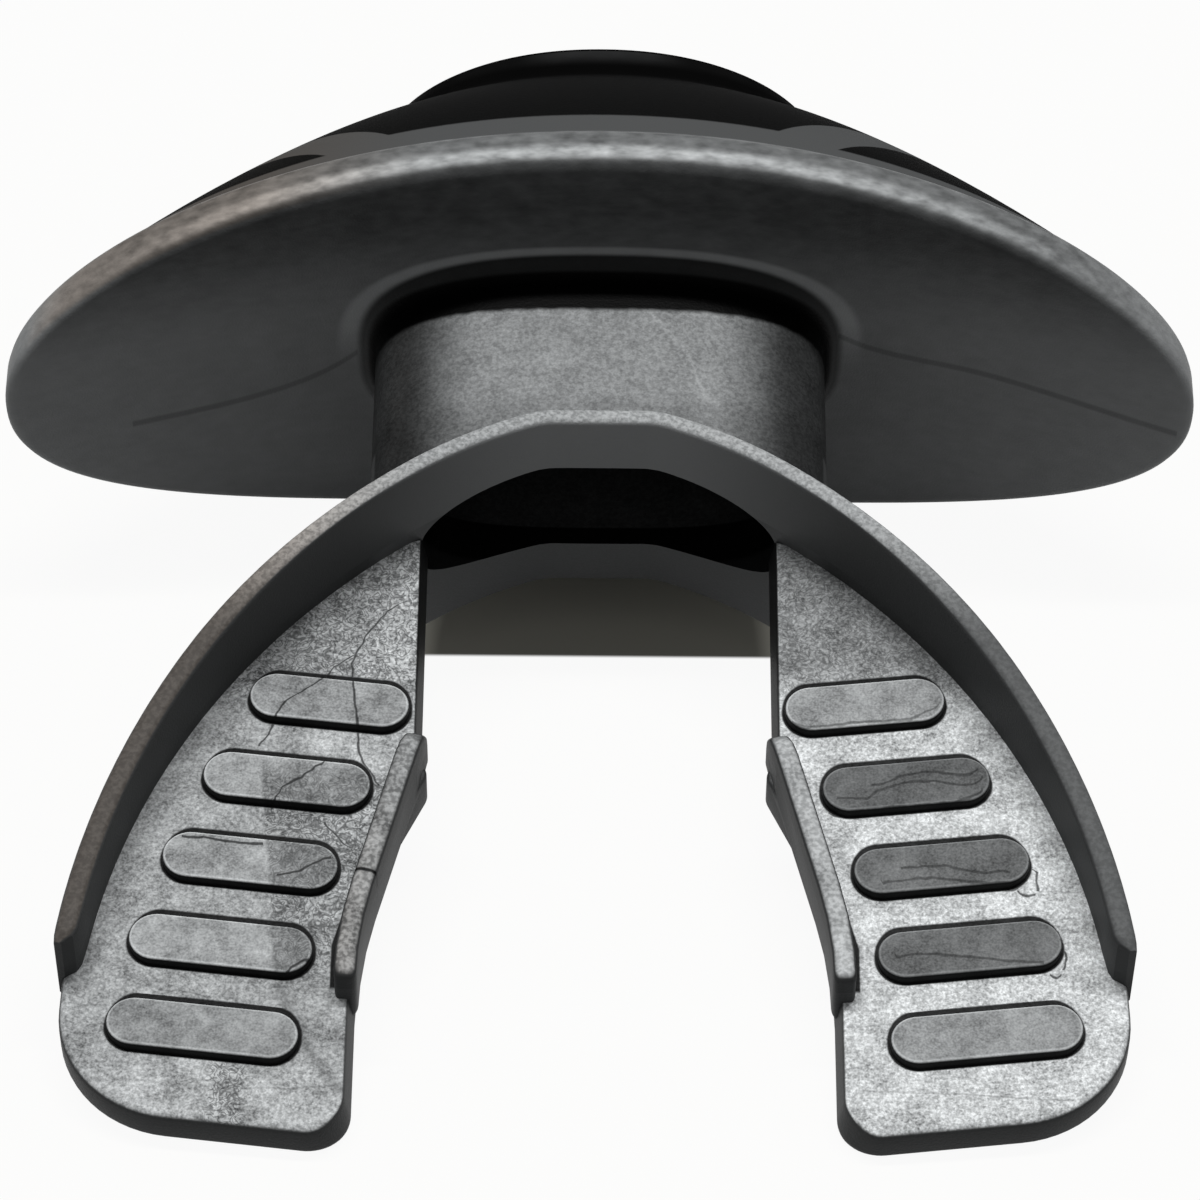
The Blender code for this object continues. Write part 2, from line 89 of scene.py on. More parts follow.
# Bite ribs
RIB_HEIGHT = 0.00075
RIB_WIDTH = 0.0034
RIB_EDGE_RADIUS = 0.0003
RIB_FIRST_Y = -0.00855
RIB_PITCH = 0.00612
RIB_FIRST_LENGTH = 0.0101
RIB_LENGTH_STEP = 0.0004
RIB_TILT = radians(6.5)
RIB_GAPS_TO_WALL = (0.00225, 0.00285, 0.00285, 0.00245, 0.00195)
RIB_ROOT_DEPTH = PLATE_THICKNESS / 2

# Rails on the inner edges of the arms, with a lug under the front end of each
RAIL_WIDTH = 0.00125
RAIL_HEIGHT = 0.0027
RAIL_EDGE_RADIUS = 0.0004
RAIL_START_Y = -0.0141
RAIL_END_Y = -0.0299
RAIL_FRONT_END = (0.0027, 0.0001, 0.0003, 0.0024, 0.0)
RAIL_REAR_END = (0.0006, 0.0003, 0.0003, 0.0005, 0.0)
RAIL_STANDS_PROUD = 0.00015
RAIL_ROOT_DEPTH = PLATE_THICKNESS * 3 / 4
LUG_WIDTH = 0.0022
LUG_LENGTH = 0.0060
LUG_CENTRE = (0.0125, -0.0147)
LUG_TURN = radians(-65.6)
LUG_DEPTH = 0.0013
LUG_EDGE_RADIUS = 0.0004
LUG_ROOT_DEPTH = PLATE_THICKNESS / 3

# Neck and the airway through it
NECK_WIDTH = 0.0296
NECK_HEIGHT = 0.0152
NECK_SQUARENESS = 3.0
NECK_ROOT_RADIUS = 0.0015
AIRWAY_WIDTH = 0.0230
AIRWAY_HEIGHT = 0.0079
AIRWAY_DROP = 0.0005
AIRWAY_OVERRUN = 0.0030

# Lip shield
SHIELD_WIDTH = 0.0779
SHIELD_HEIGHT = 0.0347
SHIELD_SQUARENESS = 2.13
SHIELD_RISE = 0.0005
SHIELD_EDGE_THICKNESS = 0.0035
SHIELD_EDGE_RADIUS = 0.0009
SHIELD_BACK_Y = 0.0227
SHIELD_SWEEP_RADIUS = 0.1050
SHIELD_TALL_RADIUS = 0.2840
DOME_HEIGHT = 0.0159
DOME_SIDE_DROP = 0.0035
DOME_SIDE_X = 0.0270
DOME_FULLNESS = 0.85

# Raised lip of the breathing port
PORT_WIDTH = 0.0298
PORT_HEIGHT = 0.0182
PORT_SQUARENESS = 2.15
PORT_LIP_THICKNESS = 0.0016
PORT_LIP_EDGE_RADIUS = 0.0004
PORT_LIP_REACH = 0.0181
PORT_SWEEP_RADIUS = 0.0800
PORT_THROAT_LENGTH = 0.0090

# Fineness of the surfaces
RING_POINTS = 200
AIRWAY_POINTS = 148
ARC_STEP = radians(6.0)
ARCH_STEP = radians(0.9)
ROUND_STEPS = 4
STADIUM_STEPS = 20
SPREAD_STEPS = 10
DOME_STEPS = 34
DOME_SPACING = 1.5
FRONT_CORNER_POINTS = 2
THROAT_STEPS = 14
SMOOTH_ANGLE = radians(32.0)
OVERLAP = 0.0003
SLIVER = 0.00001
FLAT_SHARE = 0.02

AXIS_Z = -PLATE_THICKNESS / 2


def lerp(start, end, share):
    return start + (end - start) * share


def smooth(share):
    share = min(1.0, max(0.0, share))
    return share * share * (3 - 2 * share)


def select_only(obj):
    bpy.ops.object.select_all(action="DESELECT")
    obj.select_set(True)
    bpy.context.view_layer.objects.active = obj


def skin(name, rings):
    """Closed skin over rows of points: a cylinder is cut into rows, and each row is moved to its ring."""
    rows, sides = len(rings), len(rings[0])
    bpy.ops.object.select_all(action="DESELECT")
    bpy.ops.mesh.primitive_cylinder_add(vertices=sides, radius=1.0, depth=rows - 1, end_fill_type="NGON")
    obj = bpy.context.object
    obj.name = name
    mesh = obj.data
    bpy.ops.object.mode_set(mode="EDIT")
    bpy.ops.mesh.select_mode(type="EDGE")
    bpy.ops.mesh.select_all(action="DESELECT")
    bpy.ops.object.mode_set(mode="OBJECT")
    for edge in mesh.edges:
        low, high = (mesh.vertices[index].co.z for index in edge.vertices)
        edge.select = abs(high - low) > 0.5
    bpy.ops.object.mode_set(mode="EDIT")
    bpy.ops.mesh.subdivide(number_cuts=rows - 2)
    bpy.ops.object.mode_set(mode="OBJECT")
    for vertex in mesh.vertices:
        row = round(vertex.co.z + (rows - 1) / 2)
        side = round((pi / 2 - atan2(vertex.co.y, vertex.co.x)) / (2 * pi) * sides) % sides
        vertex.co = rings[row][side]
    bpy.ops.object.mode_set(mode="EDIT")
    bpy.ops.mesh.select_all(action="SELECT")
    bpy.ops.mesh.normals_make_consistent(inside=False)
    bpy.ops.object.mode_set(mode="OBJECT")
    return obj


def fillet_path(corners):
    """Open line through the corners (x, y, radius), each rounded to its radius."""
    points = []
    for index, (x, y, radius) in enumerate(corners):
        corner = Vector((x, y))
        if radius == 0 or index in (0, len(corners) - 1):
            points.append(corner)
            continue
        to_last = (Vector(corners[index - 1][:2]) - corner).normalized()
        to_next = (Vector(corners[index + 1][:2]) - corner).normalized()
        opening = to_last.angle(to_next)
        turn = pi - opening
        centre = corner + (to_last + to_next).normalized() * (radius / sin(opening / 2))
        start = corner + to_last * (radius / tan(opening / 2)) - centre
        side = 1 if to_last.cross(to_next) < 0 else -1
        steps = max(2, ceil(turn / ARC_STEP))
        for step in range(steps + 1):
            points.append(centre + Matrix.Rotation(side * turn * step / steps, 2) @ start)
    return points


def line_normals(points, closed):
    """Mitred normals, on the right of the line's direction."""
    normals = []
    count = len(points)
    for index, point in enumerate(points):
        before = points[index - 1] if closed or index > 0 else None
        after = points[(index + 1) % count] if closed or index < count - 1 else None
        ways = []
        if before is not None:
            ways.append((point - before).normalized())
        if after is not None:
            ways.append((after - point).normalized())
        sides = [Vector((way.y, -way.x)) for way in ways]
        middle = sum(sides, Vector((0, 0))).normalized()
        normals.append(middle / middle.dot(sides[0]))
    return normals


def round_turns():
    return [pi / 2 * step / ROUND_STEPS for step in range(ROUND_STEPS + 1)]


def slab(name, outline, bottom, top, radius, round_bottom, leans=None):
    """Slab with rounded edges; leans gives each point of the outline its own inset at the upper edge."""
    normals = line_normals(outline, closed=True)
    leans = leans or [0.0] * len(outline)

    def ring(inset, z):
        rise = (z - bottom) / (top - bottom)
        places = []
        for point, normal, lean in zip(outline, normals, leans):
            keep = 1 - lean / PLATE_INNER_DRAFT * (1 - PLATE_INNER_RADIUS / radius) if lean else 1.0
            places.append(Vector((*(point + normal * (inset * keep + lean * rise)), z)))
        return places

    rings = [ring(0, bottom)]
    if round_bottom:
        rings = [ring(radius * (1 - sin(turn)), bottom + radius * (1 - cos(turn))) for turn in round_turns()]
    rings += [ring(radius * (1 - cos(turn)), top - radius * (1 - sin(turn))) for turn in round_turns()]
    return skin(name, rings)


def band(name, stations, edge_radius):
    """Upright band along stations (point, normal, inner, outer, bottom, top), with rounded edges."""
    rings = []
    for point, normal, inner, outer, bottom, top in stations:
        radius = min(edge_radius, (outer - inner) / 3)
        near, far, low, high = inner + radius, outer - radius, bottom + radius, top - radius
        ring = []
        for number, (across, z) in enumerate(((near, high), (far, high), (far, low), (near, low))):
            for step in range(ROUND_STEPS + 1):
                turn = pi - pi / 2 * (number + step / ROUND_STEPS)
                ring.append(Vector((*(point + normal * (across + radius * cos(turn))),
                                    z + radius * sin(turn))))
        rings.append(ring)
    return skin(name, rings)


def with_round_ends(stations, first_end, last_end):
    """Stations with each end drawn out by its reach and trimmed inside, outside, above and below."""
    for side, (reach, inside, outside, above, below) in ((0, first_end), (-1, last_end)):
        point, normal, inner, outer, bottom, top = stations[side]
        way = (point - stations[1 if side == 0 else -2][0]).normalized()
        ends = []
        for turn in round_turns()[1:]:
            share = 1 - cos(turn)
            ends.append((point + way * (reach * sin(turn)), normal, inner + inside * share,
                         outer - outside * share, bottom + below * share, top - above * share))
        stations = ends[::-1] + stations if side == 0 else stations + ends
    return stations


def arch_corner():
    return (ARCH_CENTRE_X + ARCH_RADIUS * cos(ARCH_START_ANGLE),
            ARCH_CENTRE_Y + ARCH_RADIUS * sin(ARCH_START_ANGLE))


def front_arc_centre():
    """Centre of the tighter arc between the side arc and the flat front, tangent to the side arc."""
    corner_x, corner_y = arch_corner()
    return (corner_x - FRONT_ARC_RADIUS * cos(ARCH_START_ANGLE),
            corner_y - FRONT_ARC_RADIUS * sin(ARCH_START_ANGLE))


def arc_points(centre, radius, start_angle, end_angle):
    steps = ceil(abs(start_angle - end_angle) / ARCH_STEP)
    angles = [lerp(start_angle, end_angle, step / steps) for step in range(steps + 1)]
    return [Vector((centre[0] + radius * cos(angle), centre[1] + radius * sin(angle))) for angle in angles]


def arch_line(end_y):
    """Right half of the wall's inner face, from the middle of the front back to end_y."""
    arc_x, arc_y = front_arc_centre()
    flat_angle = acos((FRONT_FLAT_WIDTH / 2 - arc_x) / FRONT_ARC_RADIUS)
    front_arc = arc_points((arc_x, arc_y), FRONT_ARC_RADIUS, flat_angle, ARCH_START_ANGLE)
    end_angle = asin((end_y - ARCH_CENTRE_Y) / ARCH_RADIUS)
    side_arc = arc_points((ARCH_CENTRE_X, ARCH_CENTRE_Y), ARCH_RADIUS, ARCH_START_ANGLE, end_angle)
    past_corner = front_arc[FRONT_CORNER_POINTS:]
    corners = [(0.0, FRONT_Y, 0), (*front_arc[0], FRONT_CORNER_RADIUS), (*past_corner[0], 0)]
    return fillet_path(corners) + past_corner[1:] + side_arc[1:]


def arch_y(x):
    """Height along y of the wall's inner face over a point x of the front."""
    x = abs(x)
    if x < FRONT_FLAT_WIDTH / 2:
        return FRONT_Y
    if x < arch_corner()[0]:
        arc_x, arc_y = front_arc_centre()
        return arc_y + sqrt(FRONT_ARC_RADIUS ** 2 - (x - arc_x) ** 2)
    return ARCH_CENTRE_Y + sqrt(ARCH_RADIUS ** 2 - (x - ARCH_CENTRE_X) ** 2)


def arch_x(y):
    return ARCH_CENTRE_X + sqrt(ARCH_RADIUS ** 2 - (y - ARCH_CENTRE_Y) ** 2)


def inner_edge_corners():
    """Corners of the right arm's inner edge, from the wall to the arm's back."""
    return [(SLOT_WIDTH / 2, arch_y(SLOT_WIDTH / 2) + PLATE_LAP_IN_WALL, 0),
            (SLOT_WIDTH / 2, SLOT_FLARE_START, SLOT_FLARE_START_RADIUS),
            (ARM_GAP_AT_BACK / 2, SLOT_FLARE_END, SLOT_FLARE_END_RADIUS)]


def arm_outline():
    """Outline of the right arm of the bite plate, with the draft of each of its points."""
    plate_offset = WALL_SIDE_THICKNESS - WALL_STANDS_PROUD
    arch = arch_line(ARM_BACK_OUTER + ARM_OUTER_CORNER + PLATE_THICKNESS / 2)
    outer = []
    for point, normal in zip(arch, line_normals(arch, closed=False)):
        along_front = smooth((point.x - SLOT_WIDTH / 2) / (SLOT_WIDTH / 2))
        outer.append(point - normal * lerp(PLATE_LAP_IN_WALL, plate_offset, along_front))
    outer = [point for point in outer if point.x > SLOT_WIDTH / 2 + 2 * PLATE_EDGE_RADIUS]
    outer_x = ARCH_CENTRE_X + ARCH_RADIUS + plate_offset
    inner = fillet_path(inner_edge_corners()
                        + [(ARM_GAP_AT_BACK / 2, ARM_BACK_INNER, ARM_INNER_CORNER),
                           (outer_x, ARM_BACK_OUTER, ARM_OUTER_CORNER),
                           (*outer[-1], 0)])
    points = inner + outer[-2::-1]
    drafts = []
    for index, point in enumerate(points):
        past_corner = (point.x - ARM_GAP_AT_BACK / 2) / ARM_INNER_CORNER
        on_inner = 1 - smooth(past_corner) if index < len(inner) else 0.0
        drafts.append(PLATE_INNER_DRAFT * on_inner)
    return points, drafts


def mirrored(points):
    return [Vector((-point.x, point.y)) for point in reversed(points)]


def both_sides(outline):
    return (("right", outline[::-1]), ("left", mirrored(outline)[::-1]))


def make_plates():
    points, drafts = arm_outline()
    sides = (("right", points[::-1], drafts[::-1]), ("left", mirrored(points)[::-1], drafts))
    return [slab(f"bite_plate_{side}", outline, -PLATE_THICKNESS, 0.0, PLATE_EDGE_RADIUS, True, leans)
            for side, outline, leans in sides]


def make_wall():
    """Wall above the bite face and flange below it, from one arm round the front to the other."""
    half = arch_line(WALL_END_Y)
    line = mirrored(half[1:]) + half
    lengths = [0.0]
    for before, after in zip(line, line[1:]):
        lengths.append(lengths[-1] + (after - before).length)
    half_length = lengths[-1] / 2
    stations = []
    for point, normal, length in zip(line, line_normals(line, closed=False), lengths):
        past_front = abs(length - half_length) - FLANGE_FULL_LENGTH
        top = lerp(WALL_HEIGHT, WALL_BACK_HEIGHT, smooth(past_front / (half_length - FLANGE_FULL_LENGTH)))
        fade = smooth(past_front / FLANGE_FADE_LENGTH)
        bottom = -lerp(FLANGE_DEPTH, PLATE_THICKNESS - OVERLAP, fade)
        thickness = lerp(WALL_FRONT_THICKNESS, WALL_SIDE_THICKNESS, fade)
        stations.append((point, -normal, 0.0, thickness, bottom, top))
    stations = with_round_ends(stations, WALL_END, WALL_END)
    return [band("tray_wall", stations, WALL_EDGE_RADIUS)]


def stadium(centre, length, width, tilt):
    """Outline with two straight sides and two round ends."""
    radius = width / 2
    reach = length / 2 - radius
    points = []
    for side in (1, -1):
        for step in range(STADIUM_STEPS + 1):
            turn = -pi / 2 + pi * step / STADIUM_STEPS
            local = Vector((side * (reach + radius * cos(turn)), side * radius * sin(turn)))
            points.append(Vector(centre) + Matrix.Rotation(tilt, 2) @ local)
    return points


def rib_places():
    """Centre (x, y) and length of each rib of the right arm."""
    places = []
    for number, gap in enumerate(RIB_GAPS_TO_WALL):
        y = RIB_FIRST_Y - RIB_PITCH * number
        length = RIB_FIRST_LENGTH + RIB_LENGTH_STEP * number
        places.append((arch_x(y) - gap - length / 2, y, length))
    return places


def make_ribs():
    ribs = []
    for number, (x, y, length) in enumerate(rib_places(), 1):
        for side, outline in both_sides(stadium((x, y), length, RIB_WIDTH, RIB_TILT)):
            ribs.append(slab(f"rib_{number}_{side}", outline, -RIB_ROOT_DEPTH, RIB_HEIGHT,
                             RIB_EDGE_RADIUS, False))
    return ribs


def make_lugs():
    """A small lug under the front end of each rail, reaching a little into the gap."""
    outline = stadium(LUG_CENTRE, LUG_LENGTH, LUG_WIDTH, LUG_TURN)
    bottom = -PLATE_THICKNESS - LUG_DEPTH
    return [slab(f"lug_{side}", points, bottom, -LUG_ROOT_DEPTH, LUG_EDGE_RADIUS, True)
            for side, points in both_sides(outline)]


def part_between(line, start_y, end_y):
    """Part of a line that runs back from start_y to end_y."""
    part = []
    for before, after in zip(line, line[1:]):
        for y in (start_y, end_y):
            if after.y < y <= before.y:
                part.append(before.lerp(after, (before.y - y) / (before.y - after.y)))
        if end_y < after.y < start_y:
            part.append(after)
    return part


def make_rails():
    """A rail on each arm's inner edge, standing above the plate."""
    edge = fillet_path(inner_edge_corners() + [(ARM_GAP_AT_BACK / 2, ARM_BACK_INNER, 0)])
    line = part_between(edge, RAIL_START_Y, RAIL_END_Y)
    stations = [(point, -normal, -RAIL_STANDS_PROUD, RAIL_WIDTH, -RAIL_ROOT_DEPTH, RAIL_HEIGHT)
                for point, normal in zip(line, line_normals(line, closed=False))]
    stations = with_round_ends(stations, RAIL_FRONT_END, RAIL_REAR_END)
    flipped = [(Vector((-point.x, point.y)), Vector((-normal.x, normal.y)), *rest)
               for point, normal, *rest in stations]
    return [band("rail_right", stations, RAIL_EDGE_RADIUS), band("rail_left", flipped, RAIL_EDGE_RADIUS)]


def oval(width, height, squareness, count=RING_POINTS, lift=0.0):
    """Superellipse in x and z, as (x, z - AXIS_Z) pairs, lifted above the neck's axis."""
    pairs = []
    for index in range(count):
        turn = 2 * pi * (index + 0.5) / count
        across, up = cos(turn), sin(turn)
        x = width / 2 * abs(across) ** (2 / squareness) * (1 if across > 0 else -1)
        z = height / 2 * abs(up) ** (2 / squareness) * (1 if up > 0 else -1)
        pairs.append((x, z + lift))
    return pairs


def shield_back(x, z):
    """Back face of the shield, curved both ways."""
    up = z - SHIELD_RISE
    return SHIELD_BACK_Y - x * x / (2 * SHIELD_SWEEP_RADIUS) - up * up / (2 * SHIELD_TALL_RADIUS)


def shield_front(x, z):
    """Domed front face of the shield."""
    width, height = SHIELD_WIDTH / 2 - SHIELD_EDGE_RADIUS, SHIELD_HEIGHT / 2 - SHIELD_EDGE_RADIUS
    up = abs(z - SHIELD_RISE)
    spread = (abs(x) / width) ** SHIELD_SQUARENESS + (up / height) ** SHIELD_SQUARENESS
    rise = max(0.0, 1 - spread ** (2 / SHIELD_SQUARENESS)) ** DOME_FULLNESS
    dome = DOME_HEIGHT - DOME_SIDE_DROP * (x / DOME_SIDE_X) ** 2
    return shield_back(x, z) + SHIELD_EDGE_THICKNESS + dome * rise


def port_front(x):
    return SHIELD_BACK_Y + PORT_LIP_REACH - x * x / (2 * PORT_SWEEP_RADIUS)


def ring_at(pairs, depth):
    return [Vector((x, depth(x, z), z + AXIS_Z)) for x, z in pairs]


def flattened(pairs):
    """Outline drawn in to a thin line along x, so that a cap over it follows the line."""
    return [(x, z * FLAT_SHARE) for x, z in pairs]


def blend(inner, outer, share):
    return [(lerp(x0, x1, share), lerp(z0, z1, share)) for (x0, z0), (x1, z1) in zip(inner, outer)]


def shield_outline(inset):
    return oval(SHIELD_WIDTH - 2 * inset, SHIELD_HEIGHT - 2 * inset, SHIELD_SQUARENESS, lift=SHIELD_RISE)


def port_outline(inset, count=RING_POINTS):
    return oval(PORT_WIDTH - 2 * inset, PORT_HEIGHT - 2 * inset, PORT_SQUARENESS, count)


def make_neck_and_shield():
    """Neck, shield and port lip as one skin of rings, solid inside until the airway is cut."""
    neck = oval(NECK_WIDTH, NECK_HEIGHT, NECK_SQUARENESS)
    wall_middle = WALL_FRONT_THICKNESS / 2
    rings = [ring_at(outline, lambda x, z: arch_y(x) + wall_middle) for outline in (flattened(neck), neck)]
    for turn in round_turns():
        spread = 2 * NECK_ROOT_RADIUS * (1 - cos(turn))
        root = oval(NECK_WIDTH + spread, NECK_HEIGHT + spread, NECK_SQUARENESS)
        lift = NECK_ROOT_RADIUS * (1 - sin(turn))
        rings.append(ring_at(root, lambda x, z, lift=lift: shield_back(x, z) - lift))
    for step in range(1, SPREAD_STEPS):
        spread = blend(root, shield_outline(SHIELD_EDGE_RADIUS), step / SPREAD_STEPS)
        rings.append(ring_at(spread, shield_back))
    side = SHIELD_EDGE_THICKNESS - 2 * SHIELD_EDGE_RADIUS
    for corner, start in ((0, 0.0), (1, side)):
        for turn in round_turns():
            angle = turn + corner * pi / 2
            inset = SHIELD_EDGE_RADIUS * (1 - sin(angle))
            lift = start + SHIELD_EDGE_RADIUS * (1 - cos(angle))
            rings.append(ring_at(shield_outline(inset), lambda x, z, lift=lift: shield_back(x, z) + lift))
    edge, port = shield_outline(SHIELD_EDGE_RADIUS), port_outline(-PORT_LIP_EDGE_RADIUS)
    for step in range(1, DOME_STEPS + 1):
        rings.append(ring_at(blend(edge, port, (step / DOME_STEPS) ** DOME_SPACING), shield_front))
    port = port_outline(0)
    rings.append(ring_at(port, lambda x, z: shield_front(x, z) + PORT_LIP_EDGE_RADIUS))
    for turn in round_turns():
        inset = PORT_LIP_EDGE_RADIUS * (1 - cos(turn))
        lift = PORT_LIP_EDGE_RADIUS * (1 - sin(turn))
        rings.append(ring_at(port_outline(inset), lambda x, z, lift=lift: port_front(x) - lift))
    inner = port_outline(2 * PORT_LIP_THICKNESS)
    rings += [ring_at(outline, lambda x, z: port_front(x)) for outline in (inner, flattened(inner))]
    return skin("mouthguard_moulding", rings)


def make_airway():
    """Cutter for the airway, from the tray through the neck to the flared port."""
    duct = oval(AIRWAY_WIDTH, AIRWAY_HEIGHT, NECK_SQUARENESS, AIRWAY_POINTS, lift=-AIRWAY_DROP)
    port = port_outline(PORT_LIP_THICKNESS, AIRWAY_POINTS)
    rings = [ring_at(outline, lambda x, z: arch_y(x) - OVERLAP) for outline in (flattened(duct), duct)]
    for step in range(THROAT_STEPS + 1):
        share = step / THROAT_STEPS
        outline = blend(duct, port, smooth(share))
        back = PORT_THROAT_LENGTH * (1 - share)
        rings.append(ring_at(outline, lambda x, z, back=back: port_front(x) - OVERLAP - back))
    for outline in (port, flattened(port)):
        rings.append(ring_at(outline, lambda x, z: port_front(x) + AIRWAY_OVERRUN))
    return skin("airway_cutter", rings)


def join_solids(target, shapes, operation):
    """Apply one exact Boolean of all the shapes to the target, and remove the shapes."""
    group = bpy.data.collections.new("shapes")
    bpy.context.scene.collection.children.link(group)
    for shape in shapes:
        group.objects.link(shape)
    modifier = target.modifiers.new("join", "BOOLEAN")
    modifier.operand_type = "COLLECTION"
    modifier.collection = group
    modifier.operation = operation
    modifier.solver = "EXACT"
    select_only(target)
    bpy.ops.object.modifier_apply(modifier=modifier.name)
    for shape in shapes:
        bpy.data.objects.remove(shape, do_unlink=True)
    bpy.data.collections.remove(group)


def merge_slivers(obj):
    select_only(obj)
    bpy.ops.object.mode_set(mode="EDIT")
    bpy.ops.mesh.select_all(action="SELECT")
    bpy.ops.mesh.remove_doubles(threshold=SLIVER)
    bpy.ops.object.mode_set(mode="OBJECT")


def lie_down(obj):
    """Turn a piece from the mould's frame to the way it rests on the table, with its place in its mesh."""
    obj.rotation_euler = (REST_TILT, 0.0, 0.0)
    obj.location = REST_PLACE
    select_only(obj)
    bpy.ops.object.transform_apply(location=True, rotation=True, scale=True)
    bpy.ops.object.shade_smooth_by_angle(angle=SMOOTH_ANGLE)


def make_moulding():
    moulding = make_neck_and_shield()
    join_solids(moulding, make_wall() + make_plates() + make_rails() + make_lugs() + make_ribs(), "UNION")
    join_solids(moulding, [make_airway()], "DIFFERENCE")
    merge_slivers(moulding)
    lie_down(moulding)
    return moulding


class Signal:
    """What a shader node gives out; Python's arithmetic on it adds Math nodes."""

    def __init__(self, finish, socket):
        self.finish, self.socket = finish, socket

    def __add__(self, other):
        return self.finish.math("ADD", self, other)

    def __radd__(self, other):
        return self.finish.math("ADD", other, self)

    def __sub__(self, other):
        return self.finish.math("SUBTRACT", self, other)

    def __rsub__(self, other):
        return self.finish.math("SUBTRACT", other, self)

    def __mul__(self, other):
        return self.finish.math("MULTIPLY", self, other)

    def __rmul__(self, other):
        return self.finish.math("MULTIPLY", other, self)

    def __truediv__(self, other):
        return self.finish.math("DIVIDE", self, other)

    def __rtruediv__(self, other):
        return self.finish.math("DIVIDE", other, self)

    def __pow__(self, other):
        return self.finish.math("POWER", self, other)

    def __rpow__(self, other):
        return self.finish.math("POWER", other, self)

    def __abs__(self):
        return self.finish.math("ABSOLUTE", self)


class Finish:
    """A material and the ways in which its nodes are added."""

    def __init__(self, name):
        self.material = bpy.data.materials.new(name)
        self.material.use_nodes = True
        self.tree = self.material.node_tree

    def add(self, kind, settings, sockets, output=0):
        """New node: its settings are set first, and then the values or links of its sockets."""
        node = self.tree.nodes.new("ShaderNode" + kind)
        for name, value in settings.items():
            if name == "points":
                draw_curve(node.mapping, value)
            else:
                setattr(node, name, value)
        for key, value in sockets.items():
            if isinstance(value, Signal):
                self.tree.links.new(value.socket, node.inputs[key])
            else:
                node.inputs[key].default_value = value
        return Signal(self, node.outputs[output])

    def math(self, operation, *values):
        return self.add("Math", {"operation": operation}, dict(enumerate(values)))

    def most(self, first, *others):
        for other in others:
            first = self.math("MAXIMUM", first, other)
        return first

    def ramp(self, value, start, end):
        """Smooth step of value, from 0 at start to 1 at end; end may be the lower one."""
        return self.add("MapRange", {"interpolation_type": "SMOOTHSTEP"},
                        {"Value": value, "From Min": start, "From Max": end})

    def mix(self, share, first, second):
        """Colour that goes from first at share 0 to second at share 1."""
        return self.add("Mix", {"data_type": "RGBA"}, {0: share, 6: first, 7: second}, 2)

    def between(self, share, first, second):
        """Value that goes from first at share 0 to second at share 1."""
        return self.add("Mix", {"data_type": "FLOAT"}, {0: share, 2: first, 3: second})

    def noise(self, place, scale, detail, distortion=0.0):
        return self.add("TexNoise", {}, {"Vector": place, "Scale": scale, "Detail": detail,
                                         "Distortion": distortion})

    def curve(self, value, points):
        """Height, at value, of a smooth curve through points."""
        return self.add("FloatCurve", {"points": points}, {"Value": value})

    def strokes(self, along, across, rows, width):
        """1 on the lines of each row, which follow one another, and 0 away from them."""
        nearest = None
        for row in rows:
            points = []
            for line in sorted(sorted(line) for line in row):
                start, end = line[0][0] - STROKE_END, line[-1][0] + STROKE_END
                points += [(start, OFF_PIECE), *line, (end, OFF_PIECE)]
            distance = abs(across - self.curve(along, points))
            nearest = self.math("MINIMUM", nearest, distance) if nearest else distance
        return self.ramp(nearest, width, width * STROKE_CORE)

    def place(self):
        """Place in the mould's frame, in millimetres."""
        place = self.add("TexCoord", {}, {}, "Object")
        place = self.add("Mapping", {"vector_type": "TEXTURE"},
                         {"Vector": place, "Location": REST_PLACE, "Rotation": (REST_TILT, 0.0, 0.0)})
        return self.add("VectorMath", {"operation": "SCALE"}, {0: place, "Scale": MM})

    def facing(self, way):
        """How far the surface faces a direction of the mould's frame, from -1 to 1."""
        normal = self.add("TexCoord", {}, {}, "Normal")
        way = Matrix.Rotation(REST_TILT, 3, "X") @ Vector(way)
        return self.add("VectorMath", {"operation": "DOT_PRODUCT"}, {0: normal, 1: way}, "Value")


def draw_curve(mapping, points):
    """Lay a Float Curve's points, which may lie outside its square."""
    mapping.use_clip = False
    curve = mapping.curves[0]
    curve.points[0].location, curve.points[1].location = points[0], points[-1]
    for point in points[1:-1]:
        curve.points.new(*point)
    for point in curve.points:
        point.handle_type = "AUTO_CLAMPED"
    mapping.update()


# Millimetres in a metre: the finish is laid out in millimetres of the mould's frame
MM = 1000.0

# Lines of the moulding, as points (along, across). A row holds lines that follow one another, so that
# one curve draws them all, and leaves the piece between them.
STROKE_END = 0.05
STROKE_CORE = 0.3
OFF_PIECE = 90.0
LINES_DOWN_ARMS = (
    (((-0.1, -11.4), (-0.4, -12.6), (-1.0, -13.35), (-1.8, -13.96), (-3.6, -14.92), (-5.6, -15.48),
      (-7.1, -15.36), (-8.6, -15.17), (-10.4, -14.95), (-12.5, -14.69), (-13.9, -13.9), (-14.7, -13.4)),
     ((-17.3, -16.8), (-18.5, -15.97), (-19.2, -15.4), (-19.4, -14.7)),
     ((-20.3, 26.4), (-20.8, 27.05), (-22.3, 27.05)),
     ((-26.0, 28.15), (-26.9, 28.6), (-28.2, 28.4))),
    (((-4.5, -15.26), (-5.2, -16.25), (-6.1, -17.04), (-7.1, -17.5), (-8.0, -18.6), (-8.8, -19.55),
      (-9.8, -20.15), (-10.7, -20.5), (-11.7, -21.08)),),
)
